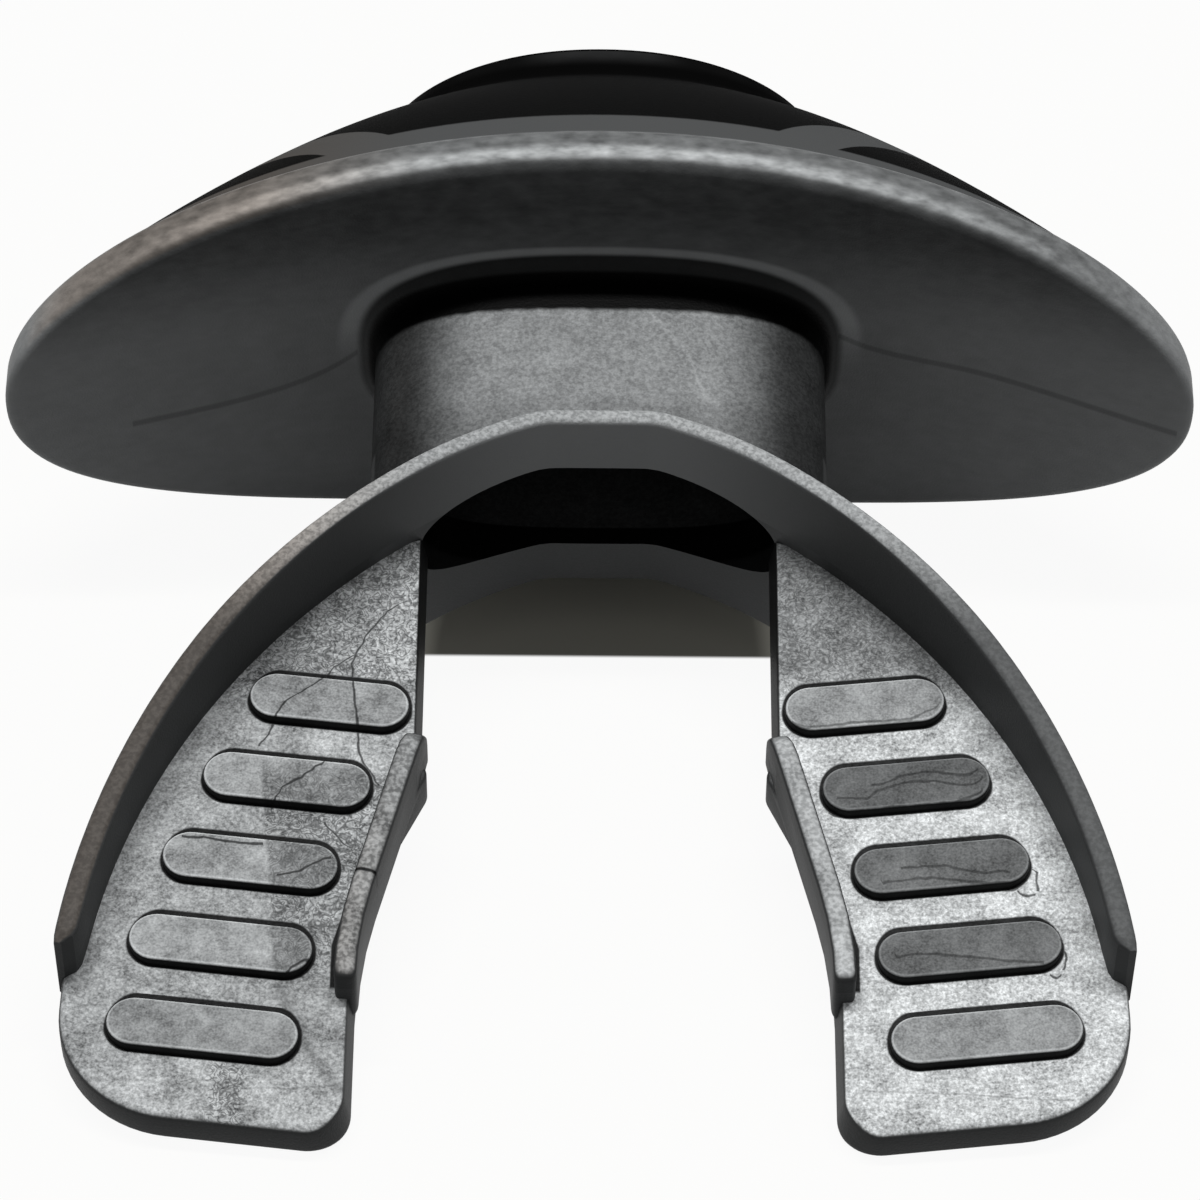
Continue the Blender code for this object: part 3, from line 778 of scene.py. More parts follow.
LINES_ACROSS_ARMS = (
    (((-20.3, -16.5), (-19.1, -15.0), (-18.2, -14.5), (-17.66, -13.97), (-16.9, -13.2)),
     ((12.1, -9.8), (13.0, -10.4), (14.5, -10.35), (16.4, -10.0), (18.9, -9.8), (20.5, -9.3), (21.5, -8.4)),
     ((25.7, -22.0), (26.5, -22.6), (27.05, -22.3)), ((27.4, -28.1), (27.85, -28.5), (28.4, -28.1))),
    (((-19.6, -22.0), (-18.7, -21.8), (-17.8, -21.4), (-16.8, -20.8), (-16.1, -20.5)),
     ((14.8, -15.9), (16.6, -15.8), (17.9, -15.1), (19.1, -14.7), (20.7, -14.5), (22.5, -14.8),
      (24.1, -14.0))),
    (((-25.6, -19.1), (-24.3, -19.2), (-22.5, -19.5), (-20.3, -19.65)),
     ((17.0, -14.9), (19.1, -14.1), (20.7, -13.8), (22.5, -14.0), (23.8, -13.3))),
    (((-18.8, -29.1), (-18.2, -28.7), (-17.6, -28.25), (-16.9, -27.8)),
     ((14.2, -16.2), (15.4, -16.8), (18.8, -16.4), (22.5, -15.9), (24.0, -14.9))),
    (((17.4, -22.2), (18.9, -22.0), (20.4, -21.8), (22.3, -22.0), (25.3, -22.1), (26.3, -21.3)),),
    (((18.6, -21.1), (21.1, -20.9), (23.2, -21.3), (25.4, -21.3)),),
    (((18.1, -27.6), (20.3, -27.4), (22.1, -27.5), (24.5, -27.8), (27.2, -27.9)),),
)
FAINT_LINES_ACROSS = (
    (((-28.2, -28.1), (-26.9, -29.6), (-24.4, -30.1), (-22.9, -30.5)), ((-21.3, -36.9), (-15.4, -36.6)),
     ((15.6, -36.7), (21.8, -36.9), (28.9, -37.3))),
)
CRACK_ON_RAIL = ((((-15.2, -22.5), (-13.9, -22.85), (-12.9, -23.1)),),)
FOLD_ON_NECK = ((((3.2, 19.3), (5.6, 15.4), (7.7, 11.4)),),)
CREASES_ON_SHIELD = ((((15.7, 0.9), (26.4, -0.9), (38.2, -2.2)), ((-31.2, -4.8), (-15.9, -1.0))),)
TONE_EDGE_LEFT = ((-12.0, -20.9), (-18.5, -20.4), (-22.4, -19.95), (-28.1, -19.5), (-29.5, -19.3),
                  (-32.0, -18.4), (-35.2, -16.7), (-37.5, -15.0))
LINE_DOWN_WIDTH = 0.12
LINE_ACROSS_WIDTH = 0.15
FAINT_LINE_SHARE = 0.4
LINE_WANDER = 0.35
LINE_SHARE = 0.85
LINE_FADE_ON_RIGHT_RIBS = 0.3
LINE_DARKNESS = 0.97

# Grain, as the scale, the detail and the distortion of each noise
NOISE_MIDDLE = 0.5
FLAKES = (3.4, 2.0)
FLAKE_LIMITS = (0.34, 0.68)
FINE_GRAIN = (7.0, 1.0)
CLOUDS = (0.5, 2.0)
WANDER = (1.1, 1.0)
SCUFFS = (1.6, 2.0)
SCUFF_STRETCH = (0.5, 1.0, 1.0)
CURLS = (1.4, 1.0, 2.0)
CURL_WIDTH = (0.12, 0.01)

# Below, a pair holds the values at which a field is 0 and 1. Places along x, y and z are in millimetres,
# FACES stands for the share in which the surface faces up or back, and tones are linear.
LEFT_SIDE_X = (0.2, -0.2)
TRAY_END_Y = (10.45, 10.3)
PLATE_LEVEL_Z = (1.1, 0.95)
PLATE_BOTTOM_Z = (-1.1, -0.5)
PLATE_FACES_UP = (0.42, 0.82)

# Upper faces of the arms
ZONE_WANDER = 0.5
TONE_EDGE_WANDER = 0.3
LEFT_TONE = 0.385
LEFT_BACK_Y = (-34.0, -36.5)
LEFT_BACK_LIFT = 0.07
LEFT_INNER_EDGE = (2.0, 4.5)
LEFT_INNER_LIFT = 0.1
INNER_SIDE_EDGE = (-0.12, 0.18)
INNER_SIDE_Y = (-13.0, -15.0)
INNER_SIDE_DROP = 0.03
FOLD_OFFSET = 0.2
FOLD_WIDTH = (0.9, 0.1)
FOLD_Y = (-28.0, -30.5)
FOLD_DROP = 0.14
CORNER_SLOPE = 0.45
CORNER_EDGE = (12.0, 13.2)
CORNER_Y = (-7.5, -5.5)
CORNER_DROP = 0.11
RIGHT_TONE = 0.64
RIGHT_FRONT_Y = (-9.0, -4.5)
RIGHT_FRONT_DROP = 0.35
ARM_BASE_SHARE = 0.96
ARM_FLAKES = 0.5
ARM_FINE_GRAIN = 1.1
ARM_CLOUDS = 1.3
LEFT_WANDER = 0.6

# Ribs: tone of each on the left and on the right arm, the painted highlight on their rounded edges, and the
# painted shade line at their foot
RIB_TONES = ((0.32, 0.31), (0.35, 0.13), (0.34, 0.145), (0.32, 0.15), (0.275, 0.28))
RIB_LEVEL_Z = (0.2, 0.5)
RIB_EDGE_FACES_UP = (0.99, 0.85)
RIB_EDGE_PAINTED_HIGHLIGHT = 0.9
RIB_SMOOTHNESS = 0.5
RIB_INNER_DROP = 0.3
RIB_FOOT_OUTSIDE = (0.24, 0.1)
RIB_FOOT_INSIDE = (-0.5, -0.4)
RIB_SIDE_REACH = (0.4, 0.2)
FAR_SIDE_SQUEEZE = 0.766
RIB_GAP_HALF = 0.5
RIB_GAP_SLOPE = 0.1

# Curled relief of the arms, and the tangle at the back of the left one
CURL_BASE = 0.22
CURLED_FRONT_Y = (-9.5, -6.0)
CURLED_INNER_Y = (-31.0, -26.0)
CURLED_SHARE = 0.3
CURLED_LEFT_SHARE = 0.3
CURL_LIMIT = 0.75
CURL_LOSS_ON_RIB = 0.8
CURL_KEPT_INNER = 0.5
TANGLE_X = -22.0
TANGLE_WIDTH = (1.6, 0.6)
TANGLE_Y = (-34.5, -35.5)
TANGLE_SHARE = 0.6

# Rails, and the painted shade line at their foot
RAIL_REACH_X = (16.6, 16.3)
RAIL_FRONT_Y = (-10.6, -11.0)
RAIL_FACES_UP = (0.55, 0.97)
RAIL_SIDE_TONE = 0.04
RAIL_TOP_TONE = 0.1
RAIL_FLAKES = 0.2
RAIL_CLOUDS = 0.4
RAIL_RIGHT_LIFT = 0.14
RAIL_CRACK_WIDTH = 0.2
RAIL_CRACK_DARKNESS = 0.95
RAIL_FOOT_START = (12.36, -12.8)
RAIL_FOOT_SLOPE = 0.2536
RAIL_FOOT_LIMIT_X = 15.86
RAIL_FOOT_WIDTH = (0.24, 0.12)
RAIL_FOOT_BACK_Y = (-29.9, -29.6)
RAIL_FOOT_FRONT_Y = (-11.2, -11.6)

# Wall, its rim, and the sides below the bite face. The rim is painted lighter as lit, most at the front;
# the wall's inner face is painted dark as shade, with a painted highlight towards the middle of the front
RIM_FACES_UP = (0.5, 0.8)
RIM_FRONT_Y = (-8.0, 3.0)
RIM_TONE = 0.07
RIM_RIGHT_LIFT = 0.02
RIM_FLAKES = 0.03
RIM_FRONT_PAINTED_LIGHT = 0.17
RIM_FRONT_FLAKES = 0.14
RIM_FRONT_FINE_GRAIN = 0.2
WALL_TONE = 0.055
WALL_FRONT_X = (17.0, 3.0)
WALL_FRONT_PAINTED_HIGHLIGHT = 0.17
# The sides are painted dark as shade, darker beside the ribs and in the slot; the sill is painted lighter as
# lit
SIDE_TONE = 0.05
SIDE_FINE_GRAIN = 0.02
SIDE_SHADE = 0.8
SILL_FACES_BACK = (0.45, 0.7)
SILL_Y = (2.0, 3.5)
SILL_PAINTED_LIGHT = 0.045
SLOT_X = (12.6, 12.2)
SLOT_Z = (0.1, -0.1)
SLOT_Y = (-13.5, -12.5)
BROWN_X = (-10.0, -24.0)
BROWN_Z = (1.0, 2.0)
BROWN_SHARE = 0.8

# Neck, painted silvery on top as lit, with painted shade on its sides and at its foot, and the shield's
# painted shadow near its root
NECK_RATIO = (1.16, 1.08)
NECK_TONE = 0.24
NECK_FLAKES = 0.09
NECK_CLOUDS = 0.16
NECK_FINE_GRAIN = 0.16
NECK_FOOT_Y = (12.2, 10.4)
NECK_FOOT_PAINTED_SHADE = 0.2
NECK_FOLD_WIDTH = 0.5
NECK_FOLD_LIFT = 0.05
NECK_ROUND_X = (12.6, 7.0)
NECK_SIDE_SHARE_IN_PAINTED_SHADE = 0.13
NECK_SHADE_Y = (18.7, 19.15)
NECK_SHADE_WANDER = 0.25
NECK_IN_WALL_X = (15.4, 15.1)
NECK_IN_WALL_TOP_Z = (6.52, 6.44)
NECK_IN_WALL_LOW_Z = (1.5, 2.0)
NECK_IN_WALL_Y = (1.0, 2.0)
NECK_IN_WALL_FACES_BACK = (0.6, 0.4)

# Root of the neck, and the back and the edge of the shield: painted shade at the root with a painted
# highlight ring round it, painted light and a painted highlight on the edge, and the back painted lighter
# towards its bottom
ROOT_REACH = 0.0027
ROOT_RATIO = (1.02, 0.9)
ROOT_PAINTED_SHADE = 0.85
RING_RATIO = 1.1
RING_WIDTH = (0.2, 0.04)
RING_Z = (-3.0, 3.0)
RING_PAINTED_HIGHLIGHT = 0.13
SHIELD_BEND = 0.00476
SHIELD_BEND_Y = 22.2
EDGE_FACES_UP = (0.3, 0.75)
EDGE_DEPTH = (0.3, 1.0)
EDGE_PAINTED_LIGHT = 0.08
EDGE_SCUFFS = 0.16
GLOW_NEAR = (0.5, 1.1)
GLOW_FAR = (2.2, 1.4)
GLOW_FACES_UP = (0.3, 0.6)
GLOW_X = (36.0, 12.0)
GLOW_PAINTED_HIGHLIGHT = 0.22
GLOW_SCUFFS = 0.4
SHIELD_TONE = 0.052
SHIELD_LOW_Z = (13.0, 1.0)
SHIELD_LOW_PAINTED_LIGHT = 0.155
SHIELD_CLOUDS = 0.04
SHIELD_SCUFFS = 0.04
CREASE_WIDTH = 0.4
CREASE_DROP = 0.35

# Printed panels on the front of the shield, the black port lip, and the painted shade inside the airway
PRINT_SLOPE = 0.76
PRINT_CENTRE_X = -0.95
MIDDLE_PANEL_RATIO = (0.885, 0.87)
MIDDLE_PANEL_SLANT = (23.5, 23.4)
SIDE_PANEL_RATIO = (0.94, 0.925)
SIDE_PANEL_SLANT = (26.2, 26.3)
PRINT_GREY = 0.072
PRINT_BLACK = 0.003
FRONT_RATIO = (0.995, 0.98)
FRONT_FACES_BACK = (-0.1, -0.2)
FRONT_FACE_Y = (18.0, 19.0)
PORT_RATIO = (1.09, 1.06)
PORT_Y = (25.0, 27.0)
BORE_RATIO = (0.85, 0.75)
BORE_Y = (7.0, 7.5)
BORE_FACES_BACK = (0.55, 0.35)
BORE_Z = (0.05, 0.2)
BORE_PAINTED_SHADE = 0.9
PORT_DARKNESS = 0.95

# Colour and gloss
BLACK = (0.0, 0.0, 0.0, 1.0)
GREY_TINT = (0.96, 0.99, 1.0, 1.0)
BROWN_TINT = (1.0, 0.87, 0.76, 1.0)
ROUGHNESS = 0.45
PRINT_ROUGHNESS = 0.9
GLOSS_LEVEL = 0.05
BUMP_DISTANCE = 0.00004
BUMP_STRENGTH = 0.6


def steps(values, edges):
    """Points of a curve that holds each value up to its edge and then steps to the next."""
    points = [(edges[0] - RIB_WIDTH * MM, values[0])]
    for value, following, edge in zip(values, values[1:], edges):
        points += [(edge - STROKE_END, value), (edge + STROKE_END, following)]
    return points + [(edges[-1] + RIB_WIDTH * MM, values[-1])]


def with_gaps(points):
    """The same steps, with a deep dip over each one, where no rib is near."""
    first, *inner, last = points
    dipped = [first]
    for (before, value), (after, following) in zip(inner[::2], inner[1::2]):
        start, end = before - RIB_GAP_HALF, after + RIB_GAP_HALF
        dipped += [(start, value), (start + RIB_GAP_SLOPE, -OFF_PIECE),
                   (end - RIB_GAP_SLOPE, -OFF_PIECE), (end, following)]
    return dipped + [last]


class Elastomer(Finish):
    """Graphite-grey elastomer, grained on top and smooth on its sides, with painted silvery light on top and
    painted shade on its sides.
    """

    def __init__(self):
        super().__init__("graphite_elastomer")
        self.spot = self.place()
        self.x, self.y, self.z = (self.add("SeparateXYZ", {}, {0: self.spot}, axis) for axis in "XYZ")
        self.across = abs(self.x)
        self.up = self.facing((0, 0, 1))
        self.back = self.facing((0, -1, 0))
        self.left = self.ramp(self.x, *LEFT_SIDE_X)
        self.right = 1 - self.left
        self.wander = self.noise(self.spot, *WANDER) - NOISE_MIDDLE
        self.bright_flakes = self.ramp(self.noise(self.spot, *FLAKES), *FLAKE_LIMITS)
        self.flakes = self.bright_flakes - NOISE_MIDDLE
        self.grain_height = self.noise(self.spot, *FINE_GRAIN)
        self.fine = self.grain_height - NOISE_MIDDLE
        self.clouds = self.noise(self.spot, *CLOUDS) - NOISE_MIDDLE
        self.low = self.ramp(self.z, *PLATE_LEVEL_Z)
        self.on_rib = self.ramp(self.z, *RIB_LEVEL_Z)
        self.off_rib, self.rib_tone = self.rib_fields()
        self.past_edge = self.x - self.curve(self.y, sorted(TONE_EDGE_LEFT))
        inner = self.ramp(self.past_edge + self.wander * TONE_EDGE_WANDER, *INNER_SIDE_EDGE)
        self.inner_side = inner * self.ramp(self.y, *INNER_SIDE_Y) * self.left
        self.rim = self.ramp(self.up, *RIM_FACES_UP)
        self.neck_ratio = self.oval_ratio(NECK_WIDTH, NECK_HEIGHT, NECK_SQUARENESS)

    def oval_ratio(self, width, height, squareness, lift=0.0):
        """How far out a place lies in an oval round the neck's axis: 1 on the outline."""
        rise = abs(self.z - (lift + AXIS_Z) * MM)
        return (self.across / (width * MM / 2)) ** squareness + (rise / (height * MM / 2)) ** squareness

    def rib_fields(self):
        """Distance in millimetres outside the nearest rib, and that rib's tone.

        The distance is shortened behind a rib, where the rib hides the plate.
        """
        c, s = cos(RIB_TILT), sin(RIB_TILT)
        ribs = sorted(((y * c - x * s) * MM, (x * c + y * s) * MM, (length - RIB_WIDTH) * MM / 2, *tones)
                      for (x, y, length), tones in zip(rib_places(), RIB_TONES))
        middles, asides, reaches, left_tones, right_tones = zip(*ribs)
        edges = [(one + next_one) / 2 for one, next_one in zip(middles, middles[1:])]
        down = self.y * c - self.across * s
        aside = self.across * c + self.y * s
        middle, offset, left_tone, right_tone = (
            self.curve(down, steps(values, edges)) for values in (middles, asides, left_tones, right_tones))
        reach = self.curve(down, with_gaps(steps(reaches, edges)))
        over = down - middle
        over = self.most(over * FAR_SIDE_SQUEEZE, over * -1.0)
        beyond = self.most(abs(aside - offset) - reach, 0.0)
        distance = (beyond * beyond + over * over) ** 0.5
        return distance - RIB_WIDTH * MM / 2, self.between(self.left, right_tone, left_tone)

    def arms(self):
        """Tone of the arms' upper faces and of the ribs, with a painted highlight on the ribs' rounded edges,
        without the dark lines on them.
        """
        down_arm = self.y + self.wander * ZONE_WANDER
        fold = self.ramp(abs(self.past_edge - FOLD_OFFSET), *FOLD_WIDTH) * self.ramp(self.y, *FOLD_Y)
        corner = self.ramp(self.across + down_arm * CORNER_SLOPE, *CORNER_EDGE)
        corner = corner * self.ramp(down_arm, *CORNER_Y)
        left_tone = LEFT_TONE + self.ramp(down_arm, *LEFT_BACK_Y) * LEFT_BACK_LIFT
        left_tone = left_tone + self.ramp(self.past_edge, *LEFT_INNER_EDGE) * LEFT_INNER_LIFT
        left_tone = left_tone - self.inner_side * INNER_SIDE_DROP - fold * FOLD_DROP - corner * CORNER_DROP
        right_tone = RIGHT_TONE - self.ramp(down_arm, *RIGHT_FRONT_Y) * RIGHT_FRONT_DROP
        arm_tone = self.between(self.left, right_tone, left_tone)
        rib_tone = self.rib_tone * (1 - self.inner_side * RIB_INNER_DROP)
        # Painted highlight along the ribs' rounded edges
        painted_edge_highlight = self.on_rib * self.ramp(self.up, *RIB_EDGE_FACES_UP)
        flakes = self.flakes * (ARM_FLAKES * (1 - self.on_rib * RIB_SMOOTHNESS))
        share = ARM_BASE_SHARE + flakes + self.fine * ARM_FINE_GRAIN + self.clouds * ARM_CLOUDS
        share = share + self.wander * self.left * LEFT_WANDER + painted_edge_highlight * RIB_EDGE_PAINTED_HIGHLIGHT
        return self.between(self.on_rib, arm_tone, rib_tone) * share

    def curls(self):
        """Curled relief of the arms, strongest at the front and inside the tone edge of the left arm."""
        curl = self.ramp(abs(self.noise(self.spot, *CURLS) - NOISE_MIDDLE), *CURL_WIDTH)
        curled = self.ramp(self.y, *CURLED_FRONT_Y) + self.inner_side * self.ramp(self.y, *CURLED_INNER_Y)
        tangle = self.ramp(abs(self.x - TANGLE_X), *TANGLE_WIDTH) * self.ramp(self.y, *TANGLE_Y)
        share = CURL_BASE + curled * (CURLED_SHARE + self.left * CURLED_LEFT_SHARE) + tangle * TANGLE_SHARE
        loss = self.on_rib * (CURL_LOSS_ON_RIB - self.inner_side * CURL_KEPT_INNER)
        return curl * (1 - loss) * self.math("MINIMUM", share, CURL_LIMIT)

    def lines_and_painted_foot_shade(self):
        """1 on the lines of the arms and on the painted shade at the foot of ribs and rails, and 0 away from
        them.
        """
        bent_x, bent_y = self.x + self.wander * LINE_WANDER, self.y - self.wander * LINE_WANDER
        lines = self.most(
            self.strokes(bent_y, bent_x, LINES_DOWN_ARMS, LINE_DOWN_WIDTH),
            self.strokes(bent_x, bent_y, LINES_ACROSS_ARMS, LINE_ACROSS_WIDTH),
            self.strokes(bent_x, bent_y, FAINT_LINES_ACROSS, LINE_DOWN_WIDTH) * FAINT_LINE_SHARE,
            self.curls())
        lines = lines * (LINE_SHARE - self.on_rib * self.right * LINE_FADE_ON_RIGHT_RIBS)
        # Painted shade: a dark line at the foot of each rib and of each rail
        painted_rib_foot_shade = self.ramp(self.off_rib, *RIB_FOOT_OUTSIDE) * self.ramp(self.off_rib, *RIB_FOOT_INSIDE)
        start_x, start_y = RAIL_FOOT_START
        rail_line = (start_y - self.y) * RAIL_FOOT_SLOPE + start_x
        rail_line = self.math("MINIMUM", rail_line, RAIL_FOOT_LIMIT_X)
        painted_rail_foot_shade = self.ramp(abs(self.across - rail_line), *RAIL_FOOT_WIDTH) * self.low
        painted_rail_foot_shade = painted_rail_foot_shade * self.ramp(self.y, *RAIL_FOOT_BACK_Y) * self.ramp(self.y, *RAIL_FOOT_FRONT_Y)
        return self.most(painted_rib_foot_shade * (1 - self.on_rib), painted_rail_foot_shade, lines)

    def rails(self):
        """Tone of the rails, painted silvery on top as lit and dark on their sides as shade, with the crack
        across the left one.
        """
        crack = self.strokes(self.x, self.y, CRACK_ON_RAIL, RAIL_CRACK_WIDTH)
        top_tone = RAIL_TOP_TONE + self.bright_flakes * RAIL_FLAKES + self.clouds * RAIL_CLOUDS
        top_tone = top_tone + self.right * RAIL_RIGHT_LIFT
        # Painted light on the rails' tops and painted shade on their sides
        tone = RAIL_SIDE_TONE + self.ramp(self.up, *RAIL_FACES_UP) * top_tone
        return tone * (1 - crack * RAIL_CRACK_DARKNESS)

    def wall(self):
        """Tone of the wall above the bite face: painted shade on its sides with a painted highlight at the
        front, and painted silvery light on the rim, most at the front.
        """
        painted_front_light_and_grain = RIM_FRONT_PAINTED_LIGHT + self.bright_flakes * RIM_FRONT_FLAKES + self.fine * RIM_FRONT_FINE_GRAIN
        rim_tone = RIM_TONE + self.right * RIM_RIGHT_LIFT + self.bright_flakes * RIM_FLAKES
        # Painted light on the rim, most at the front
        rim_tone = rim_tone + self.ramp(self.y, *RIM_FRONT_Y) * painted_front_light_and_grain
        # Painted highlight on the wall's inner face towards the middle of the front
        wall_tone = WALL_TONE + self.ramp(self.across, *WALL_FRONT_X) * WALL_FRONT_PAINTED_HIGHLIGHT
        return self.between(self.rim, wall_tone, rim_tone)

    def sides(self):
        """Tone of the sides of arms and ribs, painted dark as shade and darker beside the ribs and in the
        slot, and of the sill between the arms, painted lighter as lit.
        """
        sill = self.ramp(self.back, *SILL_FACES_BACK) * self.ramp(self.y, *SILL_Y)
        in_slot = self.ramp(self.across, *SLOT_X) * self.ramp(self.z, *SLOT_Z) * self.ramp(self.y, *SLOT_Y)
        # Painted shade beside the ribs and in the slot
        shaded = self.most(self.ramp(self.off_rib, *RIB_SIDE_REACH), in_slot * (1 - sill))
        tone = (SIDE_TONE + self.fine * SIDE_FINE_GRAIN) * (1 - shaded * SIDE_SHADE)
        return tone + sill * SILL_PAINTED_LIGHT

    def tray(self, on_tray):
        """Tone of the tray, from its sides up to the arms, the wall and the rails."""
        arm_tone = self.arms() * (1 - self.lines_and_painted_foot_shade() * LINE_DARKNESS)
        # Upper faces take the arms' tone and the sides the dark side tone: painted light on top, painted
        # shade on the sides
        faces_up = self.ramp(self.up, *PLATE_FACES_UP) * self.low * self.ramp(self.z, *PLATE_BOTTOM_Z)
        tone = self.between(faces_up, self.sides(), arm_tone)
        high = (1 - self.low) * on_tray
        tone = self.between(high, tone, self.wall())
        near_rail = self.ramp(self.across, *RAIL_REACH_X) * self.ramp(self.y, *RAIL_FRONT_Y) * high
        return self.between(near_rail, tone, self.rails())

    def neck(self):
        """Tone of the neck, painted silvery on top as lit, with painted shade on its sides and at its foot by
        the wall, and the shield's painted shadow under the shield.
        """
        # Painted shadow of the shield on the neck's top
        shaded = self.ramp(self.y + self.wander * NECK_SHADE_WANDER, *NECK_SHADE_Y)
        tone = NECK_TONE + self.flakes * NECK_FLAKES + self.clouds * NECK_CLOUDS + self.fine * NECK_FINE_GRAIN
        # Painted shade at the neck's foot by the wall
        tone = tone * (1 - self.ramp(self.y, *NECK_FOOT_Y) * NECK_FOOT_PAINTED_SHADE)
        tone = tone + self.strokes(self.x, self.y, FOLD_ON_NECK, NECK_FOLD_WIDTH) * NECK_FOLD_LIFT
        # Painted shade on the neck's sides
        top = NECK_SIDE_SHARE_IN_PAINTED_SHADE + self.ramp(self.across, *NECK_ROUND_X) * (1 - NECK_SIDE_SHARE_IN_PAINTED_SHADE)
        return tone * top * (1 - shaded)

    def shield(self):
        """Tone of the shield's back and scuffed edge: painted shade at the neck's root with a painted
        highlight ring round it, painted light and a painted highlight on the edge, and painted light low on
        the back.
        """
        root_ratio = self.oval_ratio(NECK_WIDTH + ROOT_REACH, NECK_HEIGHT + ROOT_REACH, NECK_SQUARENESS)
        # Painted highlight: a pale ring round the neck's root
        ring = self.ramp(abs(root_ratio - RING_RATIO), *RING_WIDTH) * self.ramp(self.z, *RING_Z)
        depth = self.y - SHIELD_BEND_Y + self.x * self.x * SHIELD_BEND
        # Painted light on the edge where it faces up; the scuffs on it are real wear
        edge = self.ramp(self.up, *EDGE_FACES_UP) * self.ramp(depth, *EDGE_DEPTH)
        # Painted highlight along the back of the edge
        painted_highlight = self.ramp(depth, *GLOW_NEAR) * self.ramp(depth, *GLOW_FAR)
        painted_highlight = painted_highlight * self.ramp(self.up, *GLOW_FACES_UP) * self.ramp(self.across, *GLOW_X)
        drawn_out = self.add("VectorMath", {"operation": "MULTIPLY"}, {0: self.spot, 1: SCUFF_STRETCH})
        scuffs = self.noise(drawn_out, *SCUFFS) - NOISE_MIDDLE
        # Painted light: the back lighter towards its bottom
        tone = SHIELD_TONE + self.ramp(self.z, *SHIELD_LOW_Z) * SHIELD_LOW_PAINTED_LIGHT
        tone = tone + self.clouds * SHIELD_CLOUDS + scuffs * SHIELD_SCUFFS + ring * RING_PAINTED_HIGHLIGHT
        tone = tone + edge * (EDGE_PAINTED_LIGHT + scuffs * EDGE_SCUFFS) + painted_highlight * (GLOW_PAINTED_HIGHLIGHT + scuffs * GLOW_SCUFFS)
        creases = self.strokes(self.x, self.z, CREASES_ON_SHIELD, CREASE_WIDTH)
        # Painted shade at the neck's root
        return tone * (1 - self.ramp(root_ratio, *ROOT_RATIO) * ROOT_PAINTED_SHADE) * (1 - creases * CREASE_DROP)

    def printed_front(self):
        """Where the shield's front is, and the tone of the plain panels printed on it."""
        ratio = self.oval_ratio(SHIELD_WIDTH - 2 * SHIELD_EDGE_RADIUS, SHIELD_HEIGHT - 2 * SHIELD_EDGE_RADIUS,
                                SHIELD_SQUARENESS, SHIELD_RISE)
        slant = self.z + abs(self.x - PRINT_CENTRE_X) * PRINT_SLOPE
        middle = self.ramp(ratio, *MIDDLE_PANEL_RATIO) * self.ramp(slant, *MIDDLE_PANEL_SLANT)
        side = self.ramp(ratio, *SIDE_PANEL_RATIO) * self.ramp(slant, *SIDE_PANEL_SLANT)
        on_front = self.ramp(ratio, *FRONT_RATIO) * self.ramp(self.back, *FRONT_FACES_BACK)
        on_front = on_front * self.ramp(self.y, *FRONT_FACE_Y)
        return on_front, PRINT_GREY - self.most(middle, side) * (PRINT_GREY - PRINT_BLACK)

    def black_port_and_painted_airway_shade(self):
        """1 on the black lip of the port, and nearly so inside the airway, where the dark is painted shade.
        """
        port_ratio = self.oval_ratio(PORT_WIDTH, PORT_HEIGHT, PORT_SQUARENESS)
        on_port = self.ramp(port_ratio, *PORT_RATIO) * self.ramp(self.y, *PORT_Y)
        # Painted shade inside the airway
        painted_airway_shade = self.ramp(self.neck_ratio, *BORE_RATIO) * self.ramp(self.y, *BORE_Y)
        painted_airway_shade = painted_airway_shade * self.ramp(self.back, *BORE_FACES_BACK) * self.ramp(abs(self.z), *BORE_Z)
        return self.most(on_port, painted_airway_shade * BORE_PAINTED_SHADE)

    def neck_beside_wall(self):
        """The neck's own surface where it stands beside the wall, behind the tray's end."""
        beside = self.ramp(self.across, *NECK_IN_WALL_X) * self.ramp(self.y, *NECK_IN_WALL_Y)
        beside = beside * self.ramp(self.z, *NECK_IN_WALL_TOP_Z) * self.ramp(self.z, *NECK_IN_WALL_LOW_Z)
        return beside * self.ramp(self.back, *NECK_IN_WALL_FACES_BACK)

    def fill(self):
        """Join the tones of all parts in the shader, and give the material."""
        on_tray = self.ramp(self.y, *TRAY_END_Y)
        tray_tone = self.tray(on_tray)
        tone = self.between(self.ramp(self.neck_ratio, *NECK_RATIO), self.shield(), self.neck())
        tone = self.between(on_tray * (1 - self.neck_beside_wall()), tone, tray_tone)
        on_front, print_tone = self.printed_front()
        tone = self.between(on_front, tone, print_tone) * (1 - self.black_port_and_painted_airway_shade() * PORT_DARKNESS)
        brown = self.ramp(self.x, *BROWN_X) * self.ramp(self.z, *BROWN_Z) * self.rim
        tint = self.mix(brown * BROWN_SHARE, GREY_TINT, BROWN_TINT)
        looks = {
            "Base Color": self.mix(tone, BLACK, tint),
            "Roughness": ROUGHNESS + on_front * (PRINT_ROUGHNESS - ROUGHNESS),
            "Normal": self.add("Bump", {}, {"Height": self.grain_height, "Distance": BUMP_DISTANCE,
                                            "Strength": BUMP_STRENGTH}),
        }
        shader = self.tree.nodes["Principled BSDF"]
        for name, value in looks.items():
            self.tree.links.new(value.socket, shader.inputs[name])
        shader.inputs["Specular IOR Level"].default_value = GLOSS_LEVEL
        return self.material


# Camera, as a point and a direction in the mould's frame
CAMERA_ELEVATION = radians(52.5)
CAMERA_DISTANCE = 0.350
CAMERA_ROLL = radians(0.45)
CAMERA_LENS = 164.85
CAMERA_SHIFT_X = 0.00167
CAMERA_CLIP_START = 0.01

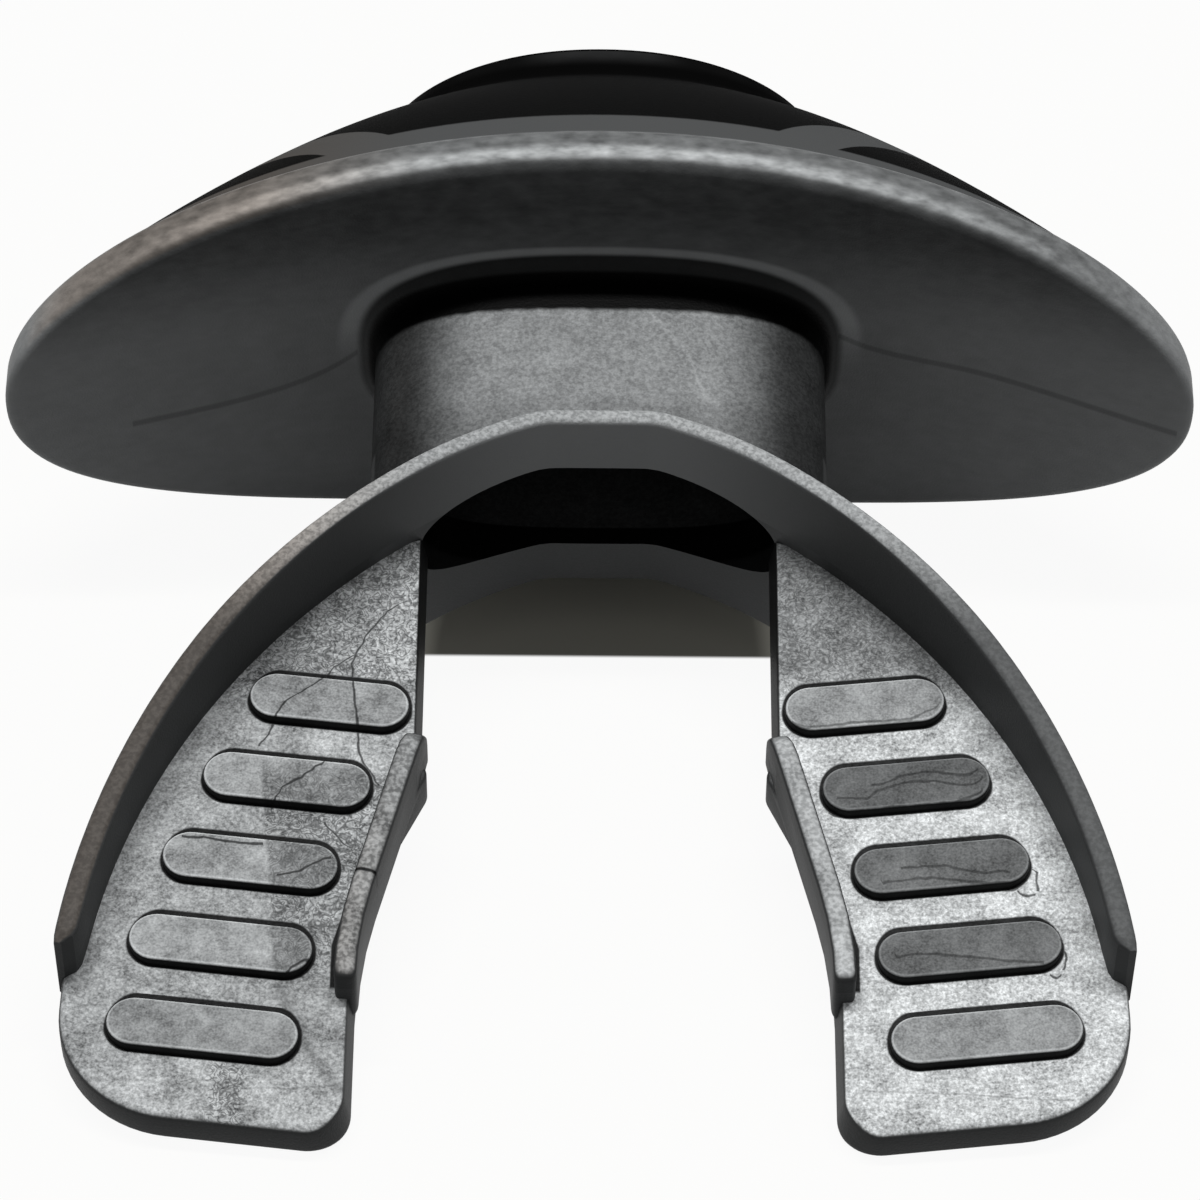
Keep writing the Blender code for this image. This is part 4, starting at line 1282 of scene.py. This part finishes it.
# Light and floor. The floor is white, and its shade shows in the pair's first share, or in the second
# between the tray and the shield, where the floor is also painted a darker brown as shadow.
STRIP_LAMP_HEIGHT = 1.0
STRIP_LAMP_LENGTH = 0.8
STRIP_LAMP_WIDTH = 0.06
STRIP_LAMP_POWER = 10.0
SKY_LEVEL = 0.25
WHITE = (1.0, 1.0, 1.0, 1.0)
FLOOR_SIZE = 3.0
FLOOR_DROP = 0.0001
FLOOR_BOUNCE = (0.35, 0.35, 0.35, 1.0)
SHADED_FLOOR_PAINTED_COLOUR = (0.5, 0.49, 0.43, 1.0)
FLOOR_SHADE = (0.06, 1.0)
SHADED_FLOOR_X = (12.0, 11.6)
SHADED_FLOOR_BACK_Y = (7.3, 7.7)
SHADED_FLOOR_FRONT_Y = (24.0, 20.0)


def add_camera():
    rest = Matrix.Translation(REST_PLACE) @ Matrix.Rotation(REST_TILT, 4, "X")
    back_off = Vector((0, -cos(CAMERA_ELEVATION), sin(CAMERA_ELEVATION))) * CAMERA_DISTANCE
    look = Matrix.Rotation(pi / 2 - CAMERA_ELEVATION + REST_TILT, 4, "X")
    look = look @ Matrix.Rotation(CAMERA_ROLL, 4, "Z")
    bpy.ops.object.camera_add(location=rest @ back_off, rotation=look.to_euler())
    camera = bpy.context.object
    camera.name = "photo_camera"
    camera.data.lens = CAMERA_LENS
    camera.data.shift_x = CAMERA_SHIFT_X
    camera.data.clip_start = CAMERA_CLIP_START
    bpy.context.scene.camera = camera


def add_light():
    bpy.ops.object.light_add(type="AREA", location=(0, 0, STRIP_LAMP_HEIGHT))
    lamp = bpy.context.object
    lamp.name = "strip_lamp"
    lamp.data.shape = "RECTANGLE"
    lamp.data.size = STRIP_LAMP_LENGTH
    lamp.data.size_y = STRIP_LAMP_WIDTH
    lamp.data.energy = STRIP_LAMP_POWER
    world = bpy.data.worlds.new("studio")
    bpy.context.scene.world = world
    world.use_nodes = True
    background = world.node_tree.nodes["Background"]
    background.inputs["Color"].default_value = WHITE
    background.inputs["Strength"].default_value = SKY_LEVEL


def pale_floor():
    """White floor that shows shade between the arms, on a patch painted darker brown as shadow, and only a
    trace of it elsewhere.
    """
    finish = Finish("pale_floor")
    place = finish.add("TexCoord", {}, {}, "Object")
    x, y = (finish.add("SeparateXYZ", {}, {0: place}, axis) * MM for axis in "XY")
    between = finish.ramp(abs(x), *SHADED_FLOOR_X) * finish.ramp(y, *SHADED_FLOOR_BACK_Y)
    between = between * finish.ramp(y, *SHADED_FLOOR_FRONT_Y)
    elsewhere_share, between_share = FLOOR_SHADE
    shade = elsewhere_share + between * (between_share - elsewhere_share)
    white = finish.add("Emission", {}, {"Color": WHITE, "Strength": 1.0})
    # Darker brown floor colour: painted shadow on the patch between the tray and the shield
    painted_dark_floor = finish.add("BsdfDiffuse", {}, {"Color": SHADED_FLOOR_PAINTED_COLOUR})
    seen = finish.add("MixShader", {}, {0: shade, 1: white, 2: painted_dark_floor})
    bounce = finish.add("BsdfDiffuse", {}, {"Color": FLOOR_BOUNCE})
    rays = [finish.add("LightPath", {}, {}, name) for name in
            ("Is Camera Ray", "Is Glossy Ray", "Is Transmission Ray")]
    surface = finish.add("MixShader", {}, {0: finish.most(*rays), 1: bounce, 2: seen})
    output = finish.tree.nodes["Material Output"]
    finish.tree.links.new(surface.socket, output.inputs["Surface"])
    return finish.material


def add_floor():
    bpy.ops.mesh.primitive_plane_add(size=FLOOR_SIZE, location=(0, 0, -FLOOR_DROP))
    floor = bpy.context.object
    floor.name = "floor"
    select_only(floor)
    bpy.ops.object.transform_apply(location=True, rotation=True, scale=True)
    floor.data.materials.append(pale_floor())


moulding = make_moulding()
moulding.data.materials.clear()
moulding.data.materials.append(Elastomer().fill())
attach(moulding, "root")
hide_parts("mouthguard")

add_camera()
add_light()
add_floor()
bpy.context.scene.view_settings.view_transform = "Standard"
